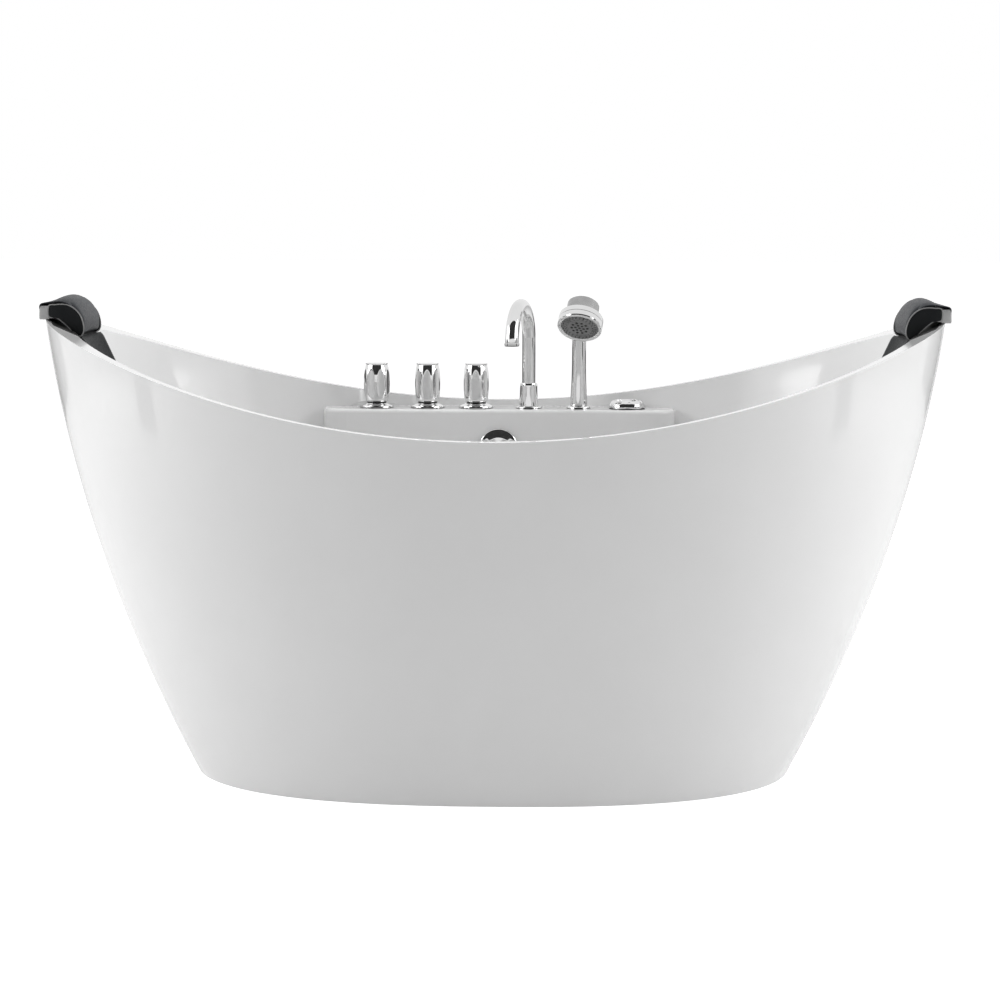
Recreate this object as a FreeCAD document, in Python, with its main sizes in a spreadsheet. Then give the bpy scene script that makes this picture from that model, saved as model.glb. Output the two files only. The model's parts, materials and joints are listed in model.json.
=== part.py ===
"""Freestanding double-ended jetted bathtub with deck taps, waste, jets, pump and two head rests.

Millimetres, +Z up. The origin is on the floor under the middle of the tub; +X is along its length
and +Y points to the tap deck. Every size that can be set by itself is a cell of the sheet "sizes".
"""
import FreeCAD, Part
import math
import os
from types import SimpleNamespace

from FreeCAD import Placement, Rotation, Vector

# ---------------------------------------------------------------- driving sizes

TUB_SIZES = {
    "rim_half_length": 750.0,
    "rim_half_width": 400.0,
    "end_height": 755.0,
    "side_height": 584.0,
    "base_half_length": 502.0,
    "base_half_width": 338.0,
    "base_squareness": 2.48,
    "rim_squareness": 2.16,
    "end_bulge": 0.6,
    "side_bulge": 0.25,
    "skirt_wall": 5.0,
    "basin_wall": 5.0,
    "rim_flat": 20.0,
    "rim_thickness": 5.0,
    "sealant_gap": 0.3,
    "floor_level": 130.0,
    "floor_half_length": 420.0,
    "floor_half_width": 235.0,
    "floor_corner": 90.0,
    "rollout_width": 22.0,
    "rollout_depth": 40.0,
}
DECK_SIZES = {
    "deck_drop": 10.5,
    "deck_depth": 98.0,
    "deck_half_length": 320.0,
    "deck_corner": 45.0,
    "deck_edge": 7.0,
    "tap_inset": 43.0,
    "recess_depth": 87.0,
    "hot_offset": -223.0,
    "cold_offset": -130.5,
    "diverter_offset": -42.0,
    "spout_offset": 53.5,
    "shower_offset": 144.5,
    "air_offset": 233.0,
}
VALVE_SIZES = {
    "rose_radius": 30.5,
    "rose_height": 6.0,
    "shank_radius": 13.0,
    "shank_clearance": 0.5,
    "valve_radius": 18.0,
    "valve_length": 46.0,
    "inlet_radius": 10.4,
    "inlet_length": 14.0,
    "spindle_radius": 5.0,
    "spindle_length": 46.0,
    "running_clearance": 0.05,
    "knob_top_radius": 20.0,
    "knob_waist_radius": 24.0,
    "knob_foot_radius": 21.0,
    "knob_height": 70.0,
    "knob_lift": 5.0,
    "knob_bore_depth": 30.0,
    "flute_radius": 9.0,
    "flute_bite": 1.5,
    "flute_count": 8.0,
    "nut_thickness": 6.0,
    "nut_extra": 5.0,
    "mixing_pipe_radius": 8.0,
}
SPOUT_SIZES = {
    "spout_tube_radius": 12.0,
    "spout_tube_wall": 1.5,
    "spout_flange_radius": 23.5,
    "spout_sleeve_radius": 18.0,
    "spout_sleeve_taper": 2.2,
    "spout_sleeve_height": 47.0,
    "spout_height": 194.0,
    "spout_bend": 62.0,
    "spout_turn": -15.0,
    "outlet_drop": 4.0,
    "aerator_radius": 13.5,
    "aerator_height": 5.0,
}
SHOWER_SIZES = {
    "socket_radius": 21.0,
    "socket_height": 5.0,
    "handle_radius": 12.5,
    "handle_flare": 3.0,
    "head_radius": 40.5,
    "head_depth": 25.0,
    "crown_radius": 29.5,
    "crown_depth": 24.0,
    "head_height": 146.5,
    "head_reach": 40.0,
    "head_tilt": 49.0,
    "head_turn": -12.0,
    "ring_depth": 13.0,
    "face_inset": 2.0,
    "plate_radius": 33.0,
    "plate_thickness": 3.0,
    "selector_clearance": 0.3,
}
CONTROL_SIZES = {
    "air_knob_radius": 32.5,
    "air_knob_height": 15.0,
    "air_scallop_radius": 13.0,
    "air_scallop_count": 5.0,
    "air_body_radius": 17.0,
    "air_body_length": 42.0,
    "overflow_level": 505.0,
    "overflow_cap_radius": 35.0,
    "overflow_cap_depth": 16.0,
    "overflow_body_radius": 25.0,
    "overflow_body_depth": 28.0,
    "waste_pipe_radius": 13.0,
    "waste_pipe_wall": 2.0,
    "waste_level": 60.0,
    "drain_offset": 60.0,
    "drain_flange_radius": 35.0,
    "drain_bore": 21.0,
    "drain_tail_radius": 25.0,
    "stopper_radius": 27.0,
    "stopper_travel": 10.0,
    "cable_radius": 2.5,
    "outlet_radius": 20.0,
    "outlet_length": 30.0,
}
JET_SIZES = {
    "jet_level": 350.0,
    "side_jet_offset": 150.0,
    "jet_flange_radius": 29.0,
    "jet_flange_thickness": 5.0,
    "jet_hub_radius": 22.0,
    "jet_ball_radius": 15.0,
    "jet_ball_clearance": 0.3,
    "jet_outlet_radius": 4.5,
    "jet_chamber_radius": 27.0,
    "jet_chamber_depth": 30.0,
    "branch_inset": 4.0,
    "wall_clearance": 0.4,
    "water_loop_level": 275.0,
    "water_loop_radius": 318.0,
    "water_loop_run": 225.0,
    "water_pipe_radius": 16.0,
    "pipe_wall": 2.0,
    "air_loop_level": 336.0,
    "air_loop_radius": 347.0,
    "air_loop_run": 218.0,
    "air_pipe_radius": 6.0,
    "loop_gap": 45.0,
    "suction_offset": 230.0,
    "suction_level": 232.0,
    "suction_flange_radius": 40.0,
    "suction_body_radius": 30.0,
    "suction_pipe_radius": 18.0,
    "pump_offset": 452.0,
    "pump_level": 86.0,
    "motor_radius": 52.0,
    "motor_length": 180.0,
    "volute_radius": 56.0,
    "volute_length": 44.0,
    "volute_front": -130.0,
    "impeller_radius": 40.0,
    "impeller_thickness": 12.0,
    "shelf_level": 22.0,
    "shelf_thickness": 4.0,
}
FRAME_SIZES = {
    "board_thickness": 12.0,
    "rail_size": 25.0,
    "rail_half_length": 330.0,
    "rail_spacing": 150.0,
    "cross_spacing": 130.0,
    "outrigger_reach": 315.0,
    "rail_wall": 2.0,
    "foot_pad_radius": 25.0,
    "foot_pad_height": 12.0,
    "foot_stem_radius": 6.0,
    "foot_inset": 20.0,
    "screw_radius": 3.0,
    "screw_head_radius": 5.5,
    "bracket_width": 40.0,
    "bracket_height": 34.0,
    "bracket_thickness": 3.0,
}
PILLOW_SIZES = {
    "pillow_width": 150.0,
    "pillow_lift": 2.0,
    "pillow_reach": 76.0,
    "pillow_thickness": 24.0,
    "pillow_crown": 13.0,
    "pillow_nose_drop": 32.0,
    "cap_thickness": 11.0,
    "cap_height": 22.6,
    "cap_drop": 4.0,
    "soft_clearance": 0.3,
    "arm_width": 60.0,
    "arm_thickness": 3.0,
    "pad_thickness": 6.0,
    "pad_top_drop": 34.0,
    "pad_length": 92.0,
    "pad_gap": 0.4,
}
SIZE_GROUPS = (TUB_SIZES, DECK_SIZES, VALVE_SIZES, SPOUT_SIZES, SHOWER_SIZES, CONTROL_SIZES,
               JET_SIZES, FRAME_SIZES, PILLOW_SIZES)

SECTION_POINTS = 40
RECESS_SQUARENESS = 4.0
EPSILON = 1e-6
CLEAR_OVER = 60.0  # how far cutting tools run past what they cut


# ---------------------------------------------------------------- sizes as bound terms


class Term:
    """A size that knows its value and the sheet expression that gives it."""

    def __init__(self, value, text):
        self.value = float(value)
        self.text = text

    def __float__(self):
        return self.value

    def __add__(self, other):
        other = as_term(other)
        return Term(self.value + other.value, f"({self.text} + {other.text})")

    def __radd__(self, other):
        return as_term(other) + self

    def __sub__(self, other):
        other = as_term(other)
        return Term(self.value - other.value, f"({self.text} - {other.text})")

    def __rsub__(self, other):
        return as_term(other) - self

    def __mul__(self, other):
        other = as_term(other)
        return Term(self.value * other.value, f"({self.text} * {other.text})")

    def __rmul__(self, other):
        return as_term(other) * self

    def __truediv__(self, other):
        other = as_term(other)
        return Term(self.value / other.value, f"({self.text} / {other.text})")

    def __neg__(self):
        return Term(-self.value, f"(0 - {self.text})")


def as_term(value):
    if isinstance(value, Term):
        return value
    return Term(value, repr(float(value)))


def make_sheet(doc):
    """The sheet of driving sizes, and the same sizes as terms."""
    sheet = doc.addObject("Spreadsheet::Sheet", "sizes")
    terms = {}
    row = 1
    for group in SIZE_GROUPS:
        for name, value in group.items():
            sheet.set(f"A{row}", name)
            sheet.set(f"B{row}", str(value))
            sheet.setAlias(f"B{row}", name)
            terms[name] = Term(value, f"sizes.{name}")
            row += 1
    doc.recompute()
    return SimpleNamespace(**terms)


doc = FreeCAD.newDocument("bathtub")
d = make_sheet(doc)
NODES = []


# ---------------------------------------------------------------- helpers for bound objects


def bind(obj, **sizes):
    """Sets each property to its term's value and ties it to the sheet."""
    for name, term in sizes.items():
        term = as_term(term)
        setattr(obj, name, term.value)
        obj.setExpression(name, term.text)


def place(obj, at, rotation=None):
    """Puts an object at a point made of terms, turned by a rotation."""
    at = [as_term(value) for value in at]
    obj.Placement = Placement(Vector(*[value.value for value in at]), rotation or Rotation())
    for axis, term in zip("xyz", at):
        if term.text != repr(term.value):
            obj.setExpression(f"Placement.Base.{axis}", term.text)


def node(obj, label):
    """Registers an object as one named sub-part."""
    obj.Label = label
    NODES.append(obj)
    return obj


def rod(name, radius, length, at, rotation=None):
    obj = doc.addObject("Part::Cylinder", name)
    bind(obj, Radius=radius, Height=length)
    place(obj, at, rotation)
    return obj


def block(name, sizes, at, rotation=None):
    obj = doc.addObject("Part::Box", name)
    bind(obj, Length=sizes[0], Width=sizes[1], Height=sizes[2])
    place(obj, at, rotation)
    return obj


def ball(name, radius, at):
    obj = doc.addObject("Part::Sphere", name)
    bind(obj, Radius=radius)
    place(obj, at)
    return obj


def joined(name, shapes):
    obj = doc.addObject("Part::MultiFuse", name)
    obj.Shapes = shapes
    obj.Refine = False
    return obj


def cut(name, base, tool):
    obj = doc.addObject("Part::Cut", name)
    obj.Base = base
    obj.Tool = tool
    return obj


def common(name, shapes):
    obj = doc.addObject("Part::MultiCommon", name)
    obj.Shapes = shapes
    return obj


def solid(name, shape):
    """A free-form solid worked out in code from the sheet's sizes."""
    obj = doc.addObject("Part::Feature", name)
    obj.Shape = shape
    obj.Placement = Placement()
    return obj


def group_of(name, objects):
    """Identical fasteners, fittings or pipes as one group of separate solids."""
    obj = doc.addObject("Part::Compound", name)
    obj.Links = objects
    return obj


def origin_plane(body, role):
    return next(plane for plane in body.Origin.OriginFeatures if plane.Role == role)


def add_profile(body, name, role, points):
    """A closed polygon sketch whose corners are tied to the sheet."""
    sketch = body.newObject("Sketcher::SketchObject", name)
    sketch.AttachmentSupport = [(origin_plane(body, role), "")]
    sketch.MapMode = "FlatFace"
    corners = [(as_term(x), as_term(y)) for x, y in points]
    count = len(corners)
    for i in range(count):
        start = Vector(corners[i][0].value, corners[i][1].value, 0)
        after = corners[(i + 1) % count]
        end = Vector(after[0].value, after[1].value, 0)
        sketch.addGeometry(Part.LineSegment(start, end), False)
    for i in range(count):
        sketch.addConstraint(SketchConstraint("Coincident", i, 2, (i + 1) % count, 1))
    for i, corner in enumerate(corners):
        for kind, axis_line, term in (("DistanceX", -2, corner[0]), ("DistanceY", -1, corner[1])):
            if abs(term.value) < EPSILON:
                sketch.addConstraint(SketchConstraint("PointOnObject", i, 1, axis_line))
                continue
            index = sketch.addConstraint(SketchConstraint(kind, -1, 1, i, 1, term.value))
            if term.text != repr(term.value):
                sketch.setExpression(f"Constraints[{index}]", term.text)
    return sketch


def add_circle(body, name, role, centre, radius):
    """A circle sketch tied to the sheet."""
    sketch = body.newObject("Sketcher::SketchObject", name)
    sketch.AttachmentSupport = [(origin_plane(body, role), "")]
    sketch.MapMode = "FlatFace"
    across, up = (as_term(value) for value in centre)
    radius = as_term(radius)
    middle = Vector(across.value, up.value, 0)
    sketch.addGeometry(Part.Circle(middle, Vector(0, 0, 1), radius.value), False)
    index = sketch.addConstraint(SketchConstraint("Radius", 0, radius.value))
    sketch.setExpression(f"Constraints[{index}]", radius.text)
    for kind, axis_line, term in (("DistanceX", -2, across), ("DistanceY", -1, up)):
        if abs(term.value) < EPSILON:
            sketch.addConstraint(SketchConstraint("PointOnObject", 0, 3, axis_line))
            continue
        index = sketch.addConstraint(SketchConstraint(kind, -1, 1, 0, 3, term.value))
        sketch.setExpression(f"Constraints[{index}]", term.text)
    return sketch


def SketchConstraint(*arguments):
    import Sketcher

    return Sketcher.Constraint(*arguments)


def turned(name, points, at, rotation=None):
    """A body turned about its own upright axis from a half profile of (radius, height) corners."""
    body = doc.addObject("PartDesign::Body", name)
    sketch = add_profile(body, name + "_profile", "XZ_Plane", points)
    revolution = body.newObject("PartDesign::Revolution", name + "_turned")
    revolution.Profile = sketch
    revolution.ReferenceAxis = (sketch, ["V_Axis"])
    revolution.Angle = 360.0
    place(body, at, rotation)
    return body


def fluted(body, name, bite_centre, bite_radius, count):
    """Cuts upright flutes round a turned body."""
    doc.recompute()
    before = body.Shape.Volume
    sketch = add_circle(body, name + "_flute", "XY_Plane", (bite_centre, 0), bite_radius)
    pocket = body.newObject("PartDesign::Pocket", name + "_pocket")
    pocket.Profile = sketch
    pocket.Type = "ThroughAll"
    pocket.Midplane = True
    pattern = body.newObject("PartDesign::PolarPattern", name + "_flutes")
    pattern.Originals = [pocket]
    pattern.Axis = (sketch, ["N_Axis"])
    pattern.Angle = 360.0
    pattern.Occurrences = int(count.value)
    pattern.setExpression("Occurrences", count.text)
    body.Tip = pattern
    doc.recompute()
    if body.Shape.Volume >= before:
        raise RuntimeError(f"{name}: the flutes cut nothing")
    return body


# ---------------------------------------------------------------- the tub's two skins


def blend_out(share, bulge):
    """How far a wall has moved from its foot to its rim, with a bulge over the straight line."""
    return (1 - bulge) * share + bulge * (1 - (1 - share) ** 2)


def outer_half_length(z):
    share = z / float(d.end_height)
    spread = float(d.rim_half_length) - float(d.base_half_length)
    return float(d.base_half_length) + spread * blend_out(share, float(d.end_bulge))


def outer_half_width(z):
    share = z / float(d.side_height)
    spread = float(d.rim_half_width) - float(d.base_half_width)
    return float(d.base_half_width) + spread * blend_out(share, float(d.side_bulge))


def squareness(z):
    share = min(z / float(d.end_height), 1.0)
    return float(d.base_squareness) + (float(d.rim_squareness) - float(d.base_squareness)) * share


def inner_half_sizes(z, offset):
    """Half length and half width of the basin's inner surface, moved outwards by an offset."""
    floor = float(d.floor_level)
    top_length = float(d.rim_half_length) - float(d.rim_flat) - float(d.rollout_width)
    top_width = float(d.rim_half_width) - float(d.rim_flat)
    length_slope = (top_length - float(d.floor_half_length)) / (float(d.end_height) - floor)
    width_slope = (top_width - float(d.floor_half_width)) / (float(d.side_height) - floor)
    half_length = float(d.floor_half_length) + length_slope * (z - floor) + offset
    half_width = float(d.floor_half_width) + width_slope * (z - floor) + offset
    rise = (z - float(d.end_height) + float(d.rollout_depth)) / float(d.rollout_depth)
    half_length += float(d.rollout_width) * max(rise, 0.0) ** 2
    corner = float(d.floor_corner) + offset
    below = float(d.floor_level) + float(d.floor_corner) - z
    inset = corner - math.sqrt(max(corner**2 - max(below, 0.0) ** 2, 0.0))
    return half_length - inset, half_width - inset


def rim_level(x):
    """The rim sags in a parabola from its ends to the middle."""
    sag = float(d.end_height) - float(d.side_height)
    return float(d.side_height) + sag * (x / float(d.rim_half_length)) ** 2


def oval(half_length, half_width, power, z):
    """A closed smooth superellipse at one level."""
    points = []
    for i in range(SECTION_POINTS):
        turn = 2 * math.pi * i / SECTION_POINTS
        angle = math.atan2(half_width * math.sin(turn), half_length * math.cos(turn))
        along = abs(math.cos(angle) / half_length) ** power
        across = abs(math.sin(angle) / half_width) ** power
        reach = (along + across) ** (-1 / power)
        points.append(Vector(reach * math.cos(angle), reach * math.sin(angle), z))
    curve = Part.BSplineCurve()
    curve.interpolate(Points=points, PeriodicFlag=True)
    return Part.Wire([curve.toShape()])


def top_of_tools():
    return float(d.end_height) + CLEAR_OVER


def outer_solid(inset):
    """The solid inside the skirt's outer face, moved inwards by an inset."""
    levels = [top_of_tools() * i / 10 for i in range(11)]
    wires = [oval(outer_half_length(z) - inset, outer_half_width(z) - inset, squareness(z), z)
             for z in levels]
    return Part.makeLoft(wires, True, False)


def inner_solid(offset):
    """The hollow of the basin without its deck, moved outwards by an offset."""
    bottom = float(d.floor_level) - offset
    corner = float(d.floor_corner) + offset
    levels = [bottom + corner * (1 - math.cos(math.radians(step))) for step in (0, 18, 36, 54, 72, 90)]
    last = levels[-1]
    rollout = float(d.end_height) - float(d.rollout_depth)
    levels += [last + (rollout - last) * i / 5 for i in range(1, 6)]
    levels += [rollout + (top_of_tools() - rollout) * i / 5 for i in range(1, 6)]
    wires = []
    for z in levels:
        half_length, half_width = inner_half_sizes(z, offset)
        wires.append(oval(half_length, half_width, squareness(z), z))
    return Part.makeLoft(wires, True, False)


def under_rim(rise):
    """Everything under the sagging rim line, moved up by a rise."""
    reach = float(d.rim_half_length) + CLEAR_OVER
    high = rim_level(reach) + rise
    low = 2 * (float(d.side_height) + rise) - high
    curve = Part.BezierCurve()
    curve.setPoles([Vector(-reach, 0, high), Vector(0, 0, low), Vector(reach, 0, high)])
    floor = -CLEAR_OVER
    corners = [Vector(reach, 0, high), Vector(reach, 0, floor), Vector(-reach, 0, floor),
               Vector(-reach, 0, high)]
    edges = [Part.LineSegment(corners[i], corners[i + 1]).toShape() for i in range(3)]
    face = Part.Face(Part.Wire([curve.toShape()] + edges))
    half = float(d.rim_half_width) + CLEAR_OVER
    face.translate(Vector(0, -half, 0))
    return face.extrude(Vector(0, 2 * half, 0))


deck_level = d.side_height - d.deck_drop
deck_front = d.rim_half_width - d.rim_flat - d.deck_depth
tap_row = deck_front + d.tap_inset


def deck_block(shrink):
    """The block under the tap deck that stands out into the basin, made smaller on every side."""
    half = float(d.deck_half_length) - shrink
    front = float(deck_front) + shrink
    depth = float(d.rim_half_width) + CLEAR_OVER - front
    height = float(deck_level) - shrink
    made = Part.makeBox(2 * half, depth, height, Vector(-half, front, 0))
    upright = [edge for edge in made.Edges
               if abs(edge.tangentAt(edge.FirstParameter).z) > 0.9 and edge.CenterOfMass.y < front + 1]
    made = made.makeFillet(float(d.deck_corner) - shrink, upright)
    top = [edge for edge in made.Edges
           if abs(edge.CenterOfMass.z - height) < EPSILON and edge.CenterOfMass.y < front + depth - 1]
    return made.makeFillet(float(d.deck_edge) - shrink, top)


def tap_recess(offset):
    """The shallow bay behind the taps, where the wall steps back from the deck."""
    half = float(d.deck_half_length) - float(d.deck_corner) / 3 + offset
    bay = oval(half, float(d.recess_depth) + offset, RECESS_SQUARENESS, 0)
    face = Part.Face(bay)
    face.translate(Vector(0, float(deck_front), float(deck_level) - offset))
    upward = face.extrude(Vector(0, 0, CLEAR_OVER))
    keep = Part.makeBox(2 * half, half, 4 * CLEAR_OVER,
                        Vector(-half, float(deck_front) + offset, float(deck_level) - 2 * CLEAR_OVER))
    return upward.common(keep)


def basin_hollow(offset):
    return inner_solid(offset).cut(deck_block(offset)).fuse(tap_recess(offset))


SKIRT_OUTSIDE = outer_solid(0)
SKIRT_INSIDE = outer_solid(float(d.skirt_wall))
LIP_LIMIT = outer_solid(float(d.skirt_wall) + float(d.sealant_gap))
BRACKET_LIMIT = outer_solid(float(d.skirt_wall) + float(d.wall_clearance))
HOLLOW = basin_hollow(0)
HOLLOW_OUTSIDE = basin_hollow(float(d.basin_wall))
UNDER_RIM = under_rim(0)
UNDER_LIP = under_rim(-float(d.rim_thickness))


def outward(x_sign, y_sign, level, aside):
    """A point of the basin's inner surface and the outward normal there.

    x_sign picks an end wall and y_sign a side wall; aside is the distance from the wall's middle.
    """

    def surface(level_, aside_):
        half_length, half_width = inner_half_sizes(level_, 0)
        power = squareness(level_)
        if x_sign:
            share = 1 - abs(aside_ / half_width) ** power
            return Vector(x_sign * half_length * share ** (1 / power), aside_, level_)
        share = 1 - abs(aside_ / half_length) ** power
        return Vector(aside_, y_sign * half_width * share ** (1 / power), level_)

    step = 0.5
    point = surface(level, aside)
    along = surface(level, aside + step) - surface(level, aside - step)
    rising = surface(level + step, aside) - surface(level - step, aside)
    normal = along.cross(rising).normalize()
    if normal.dot(Vector(x_sign, y_sign, 0)) < 0:
        normal = normal.negative()
    return point, normal


def facing(normal):
    """The rotation that turns +Z to a direction."""
    return Rotation(Vector(0, 0, 1), normal)


def bent_pipe(points, radius, bend):
    """A round rod along straight runs joined by tangent arcs."""
    edges = []
    start = points[0]
    for i in range(1, len(points) - 1):
        corner = points[i]
        back = (points[i - 1] - corner).normalize()
        ahead = (points[i + 1] - corner).normalize()
        half_turn = back.getAngle(ahead) / 2
        setback = bend / math.tan(half_turn)
        first = corner + back * setback
        last = corner + ahead * setback
        middle_line = (back + ahead).normalize()
        centre = corner + middle_line * (bend / math.sin(half_turn))
        middle = centre - middle_line * bend
        edges.append(Part.LineSegment(start, first).toShape())
        edges.append(Part.Arc(first, middle, last).toShape())
        start = last
    edges.append(Part.LineSegment(start, points[-1]).toShape())
    path = Part.Wire(edges)
    direction = (points[1] - points[0]).normalize()
    profile = Part.Wire([Part.makeCircle(radius, points[0], direction)])
    return path.makePipeShell([profile], True, False)


def bent_tube(points, radius, wall, bend):
    return bent_pipe(points, radius, bend).cut(bent_pipe(points, radius - wall, bend))


# ---------------------------------------------------------------- shells


def make_skirt():
    shell = SKIRT_OUTSIDE.cut(SKIRT_INSIDE).common(UNDER_RIM)
    node(solid("skirt_shell", shell), "outer_skirt")


def deck_drills():
    """The holes of the tap deck."""
    drills = []
    for name, offset, radius in (
        ("hot", d.hot_offset, d.shank_radius),
        ("cold", d.cold_offset, d.shank_radius),
        ("diverter", d.diverter_offset, d.shank_radius),
        ("spout", d.spout_offset, d.shank_radius),
        ("shower", d.shower_offset, d.handle_radius + shower_socket_wall),
        ("air", d.air_offset, d.air_body_radius),
    ):
        at = (offset, tap_row, deck_level - d.basin_wall * 3)
        drills.append(rod(name + "_drill", radius + d.shank_clearance, d.basin_wall * 6, at))
    return drills


def wall_drill(name, radius, point, normal):
    depth = 4 * float(d.basin_wall)
    start = point - normal * depth
    return rod(name, radius, 2 * depth, (start.x, start.y, start.z), facing(normal))


def make_basin():
    shell = HOLLOW_OUTSIDE.cut(HOLLOW).common(UNDER_RIM)
    lip = LIP_LIMIT.common(UNDER_RIM).cut(UNDER_LIP).cut(HOLLOW)
    raw = solid("basin_shell", shell.fuse(lip).removeSplitter())
    drills = deck_drills()
    for i, (point, normal) in enumerate(JET_SEATS):
        drills.append(wall_drill(f"jet_drill_{i + 1}", d.jet_hub_radius + d.shank_clearance, point, normal))
    drills.append(wall_drill("suction_drill", d.suction_body_radius + d.shank_clearance, *SUCTION_SEAT))
    overflow_at = (0, deck_front - d.basin_wall * 2, d.overflow_level)
    drills.append(rod("overflow_drill", d.waste_pipe_radius + d.shank_clearance, d.basin_wall * 5,
                      overflow_at, UPRIGHT_TO_BACK))
    drain_at = (0, d.drain_offset, d.floor_level - d.basin_wall * 2)
    drills.append(rod("drain_drill", d.drain_tail_radius + d.shank_clearance, d.basin_wall * 4, drain_at))
    node(cut("basin_drilled", raw, joined("basin_drills", drills)), "inner_basin")


UPRIGHT_TO_BACK = Rotation(Vector(0, 0, 1), Vector(0, 1, 0))
UPRIGHT_TO_FRONT = Rotation(Vector(0, 0, 1), Vector(0, -1, 0))
shower_socket_wall = 2.5


def jet_seats():
    """Two jets in each long wall and one in each end wall: wall points and outward normals."""
    seats = []
    level = float(d.jet_level)
    for aside in (-float(d.side_jet_offset), float(d.side_jet_offset)):
        seats.append(outward(0, -1, level, aside))
        seats.append((Vector(aside, float(deck_front), float(d.air_loop_level)), Vector(0, 1, 0)))
    for sign in (-1, 1):
        seats.append(outward(sign, 0, level, 0.0))
    return seats


JET_SEATS = jet_seats()
SUCTION_SEAT = outward(0, -1, float(d.suction_level), float(d.suction_offset))


# ---------------------------------------------------------------- frame and feet

board_bottom = d.floor_level - d.basin_wall - d.board_thickness
rail_bottom = board_bottom - d.rail_size


def make_frame():
    board = block("board", (d.rail_half_length * 2, d.rail_spacing * 2, d.board_thickness),
                  (-d.rail_half_length, -d.rail_spacing, board_bottom))
    drain_hole = rod("board_hole", d.drain_tail_radius + 2, d.board_thickness * 3,
                     (0, d.drain_offset, board_bottom - d.board_thickness))
    node(cut("board_drilled", board, drain_hole), "base_board")

    rails = []
    hollows = []
    inner = d.rail_size - d.rail_wall * 2
    for sign, side in ((-1, "front"), (1, "back")):
        y_low = sign * d.rail_spacing - d.rail_size / 2
        rails.append(block(f"rail_{side}", (d.rail_half_length * 2, d.rail_size, d.rail_size),
                           (-d.rail_half_length, y_low, rail_bottom)))
        hollows.append(block(f"rail_{side}_hollow", (d.rail_half_length * 2 + 2, inner, inner),
                             (-d.rail_half_length - 1, y_low + d.rail_wall, rail_bottom + d.rail_wall)))
    for sign, side in ((-1, "left"), (1, "right")):
        end_low = sign * (d.rail_half_length - d.rail_size / 2) - d.rail_size / 2
        rails.append(block(f"end_rail_{side}", (d.rail_size, d.rail_spacing * 2, d.rail_size),
                           (end_low, -d.rail_spacing, rail_bottom)))
        cross_low = sign * d.cross_spacing - d.rail_size / 2
        rails.append(block(f"outrigger_{side}", (d.rail_size, d.outrigger_reach * 2, d.rail_size),
                           (cross_low, -d.outrigger_reach, rail_bottom)))
    holes = [rod(f"stem_hole_{name}", d.foot_stem_radius + 0.2, d.rail_wall * 6,
                 (x, y, rail_bottom - d.rail_wall)) for name, x, y in FOOT_PLACES]
    frame = cut("frame_hollow", joined("frame_rails", rails), joined("frame_cuts", hollows + holes))
    node(frame, "support_frame")


foot_x = d.rail_half_length - d.rail_size - d.foot_inset
FOOT_PLACES = [
    ("front_left", -foot_x, -d.rail_spacing),
    ("front_right", foot_x, -d.rail_spacing),
    ("back_left", -foot_x, d.rail_spacing),
    ("back_right", foot_x, d.rail_spacing),
]


def make_feet():
    nuts = []
    stem_top = d.rail_size - d.rail_wall * 2 + rail_bottom
    for name, x, y in FOOT_PLACES:
        foot = turned(f"foot_{name}", [
            (0, 0), (d.foot_pad_radius, 0), (d.foot_pad_radius, d.foot_pad_height / 2),
            (d.foot_stem_radius * 2, d.foot_pad_height), (d.foot_stem_radius, d.foot_pad_height),
            (d.foot_stem_radius, stem_top), (0, stem_top),
        ], (x, y, 0))
        node(foot, f"levelling_foot_{name}")
        nuts.append(turned(f"foot_nut_{name}", [
            (d.foot_stem_radius + d.running_clearance, -d.nut_thickness),
            (d.foot_stem_radius + d.nut_extra, -d.nut_thickness),
            (d.foot_stem_radius + d.nut_extra, 0),
            (d.foot_stem_radius + d.running_clearance, 0),
        ], (x, y, rail_bottom)))
    node(group_of("foot_nuts", nuts), "foot_lock_nuts")


def make_skirt_brackets():
    limit = solid("bracket_limit", BRACKET_LIMIT)
    brackets = []
    screws = []
    reach = d.base_half_width + 20
    for sign_x in (-1, 1):
        for sign_y in (-1, 1):
            name = f"{'left' if sign_x < 0 else 'right'}_{'front' if sign_y < 0 else 'back'}"
            x_low = sign_x * d.cross_spacing - d.bracket_width / 2
            inner_end = d.outrigger_reach - d.bracket_width
            depth = reach - inner_end
            y_low = inner_end if sign_y > 0 else -reach
            plate = block(f"plate_{name}", (d.bracket_width, depth, d.bracket_thickness),
                          (x_low, y_low, rail_bottom - d.bracket_thickness))
            wall_start = d.outrigger_reach + 1
            wall_low = wall_start if sign_y > 0 else -reach
            upright = block(f"upright_{name}", (d.bracket_width, reach - wall_start, d.bracket_height),
                            (x_low, wall_low, rail_bottom - d.bracket_thickness))
            whole = joined(f"bracket_blank_{name}", [plate, upright])
            brackets.append(common(f"bracket_{name}", [whole, limit]))
            screw_y = sign_y * (d.outrigger_reach - d.bracket_width / 2)
            head = d.bracket_thickness
            screws.append(turned(f"screw_{name}", [
                (0, -head * 2), (d.screw_head_radius, -head * 2), (d.screw_head_radius, -head), (0, -head),
            ], (sign_x * d.cross_spacing, screw_y, rail_bottom)))
    node(group_of("brackets", brackets), "skirt_brackets")
    node(group_of("bracket_fixings", screws), "bracket_screws")


# ---------------------------------------------------------------- taps

VALVES = (("hot", d.hot_offset, True), ("cold", d.cold_offset, True), ("diverter", d.diverter_offset, False))
deck_under = deck_level - d.basin_wall
spindle_start = d.knob_lift + d.rose_height - 6


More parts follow.
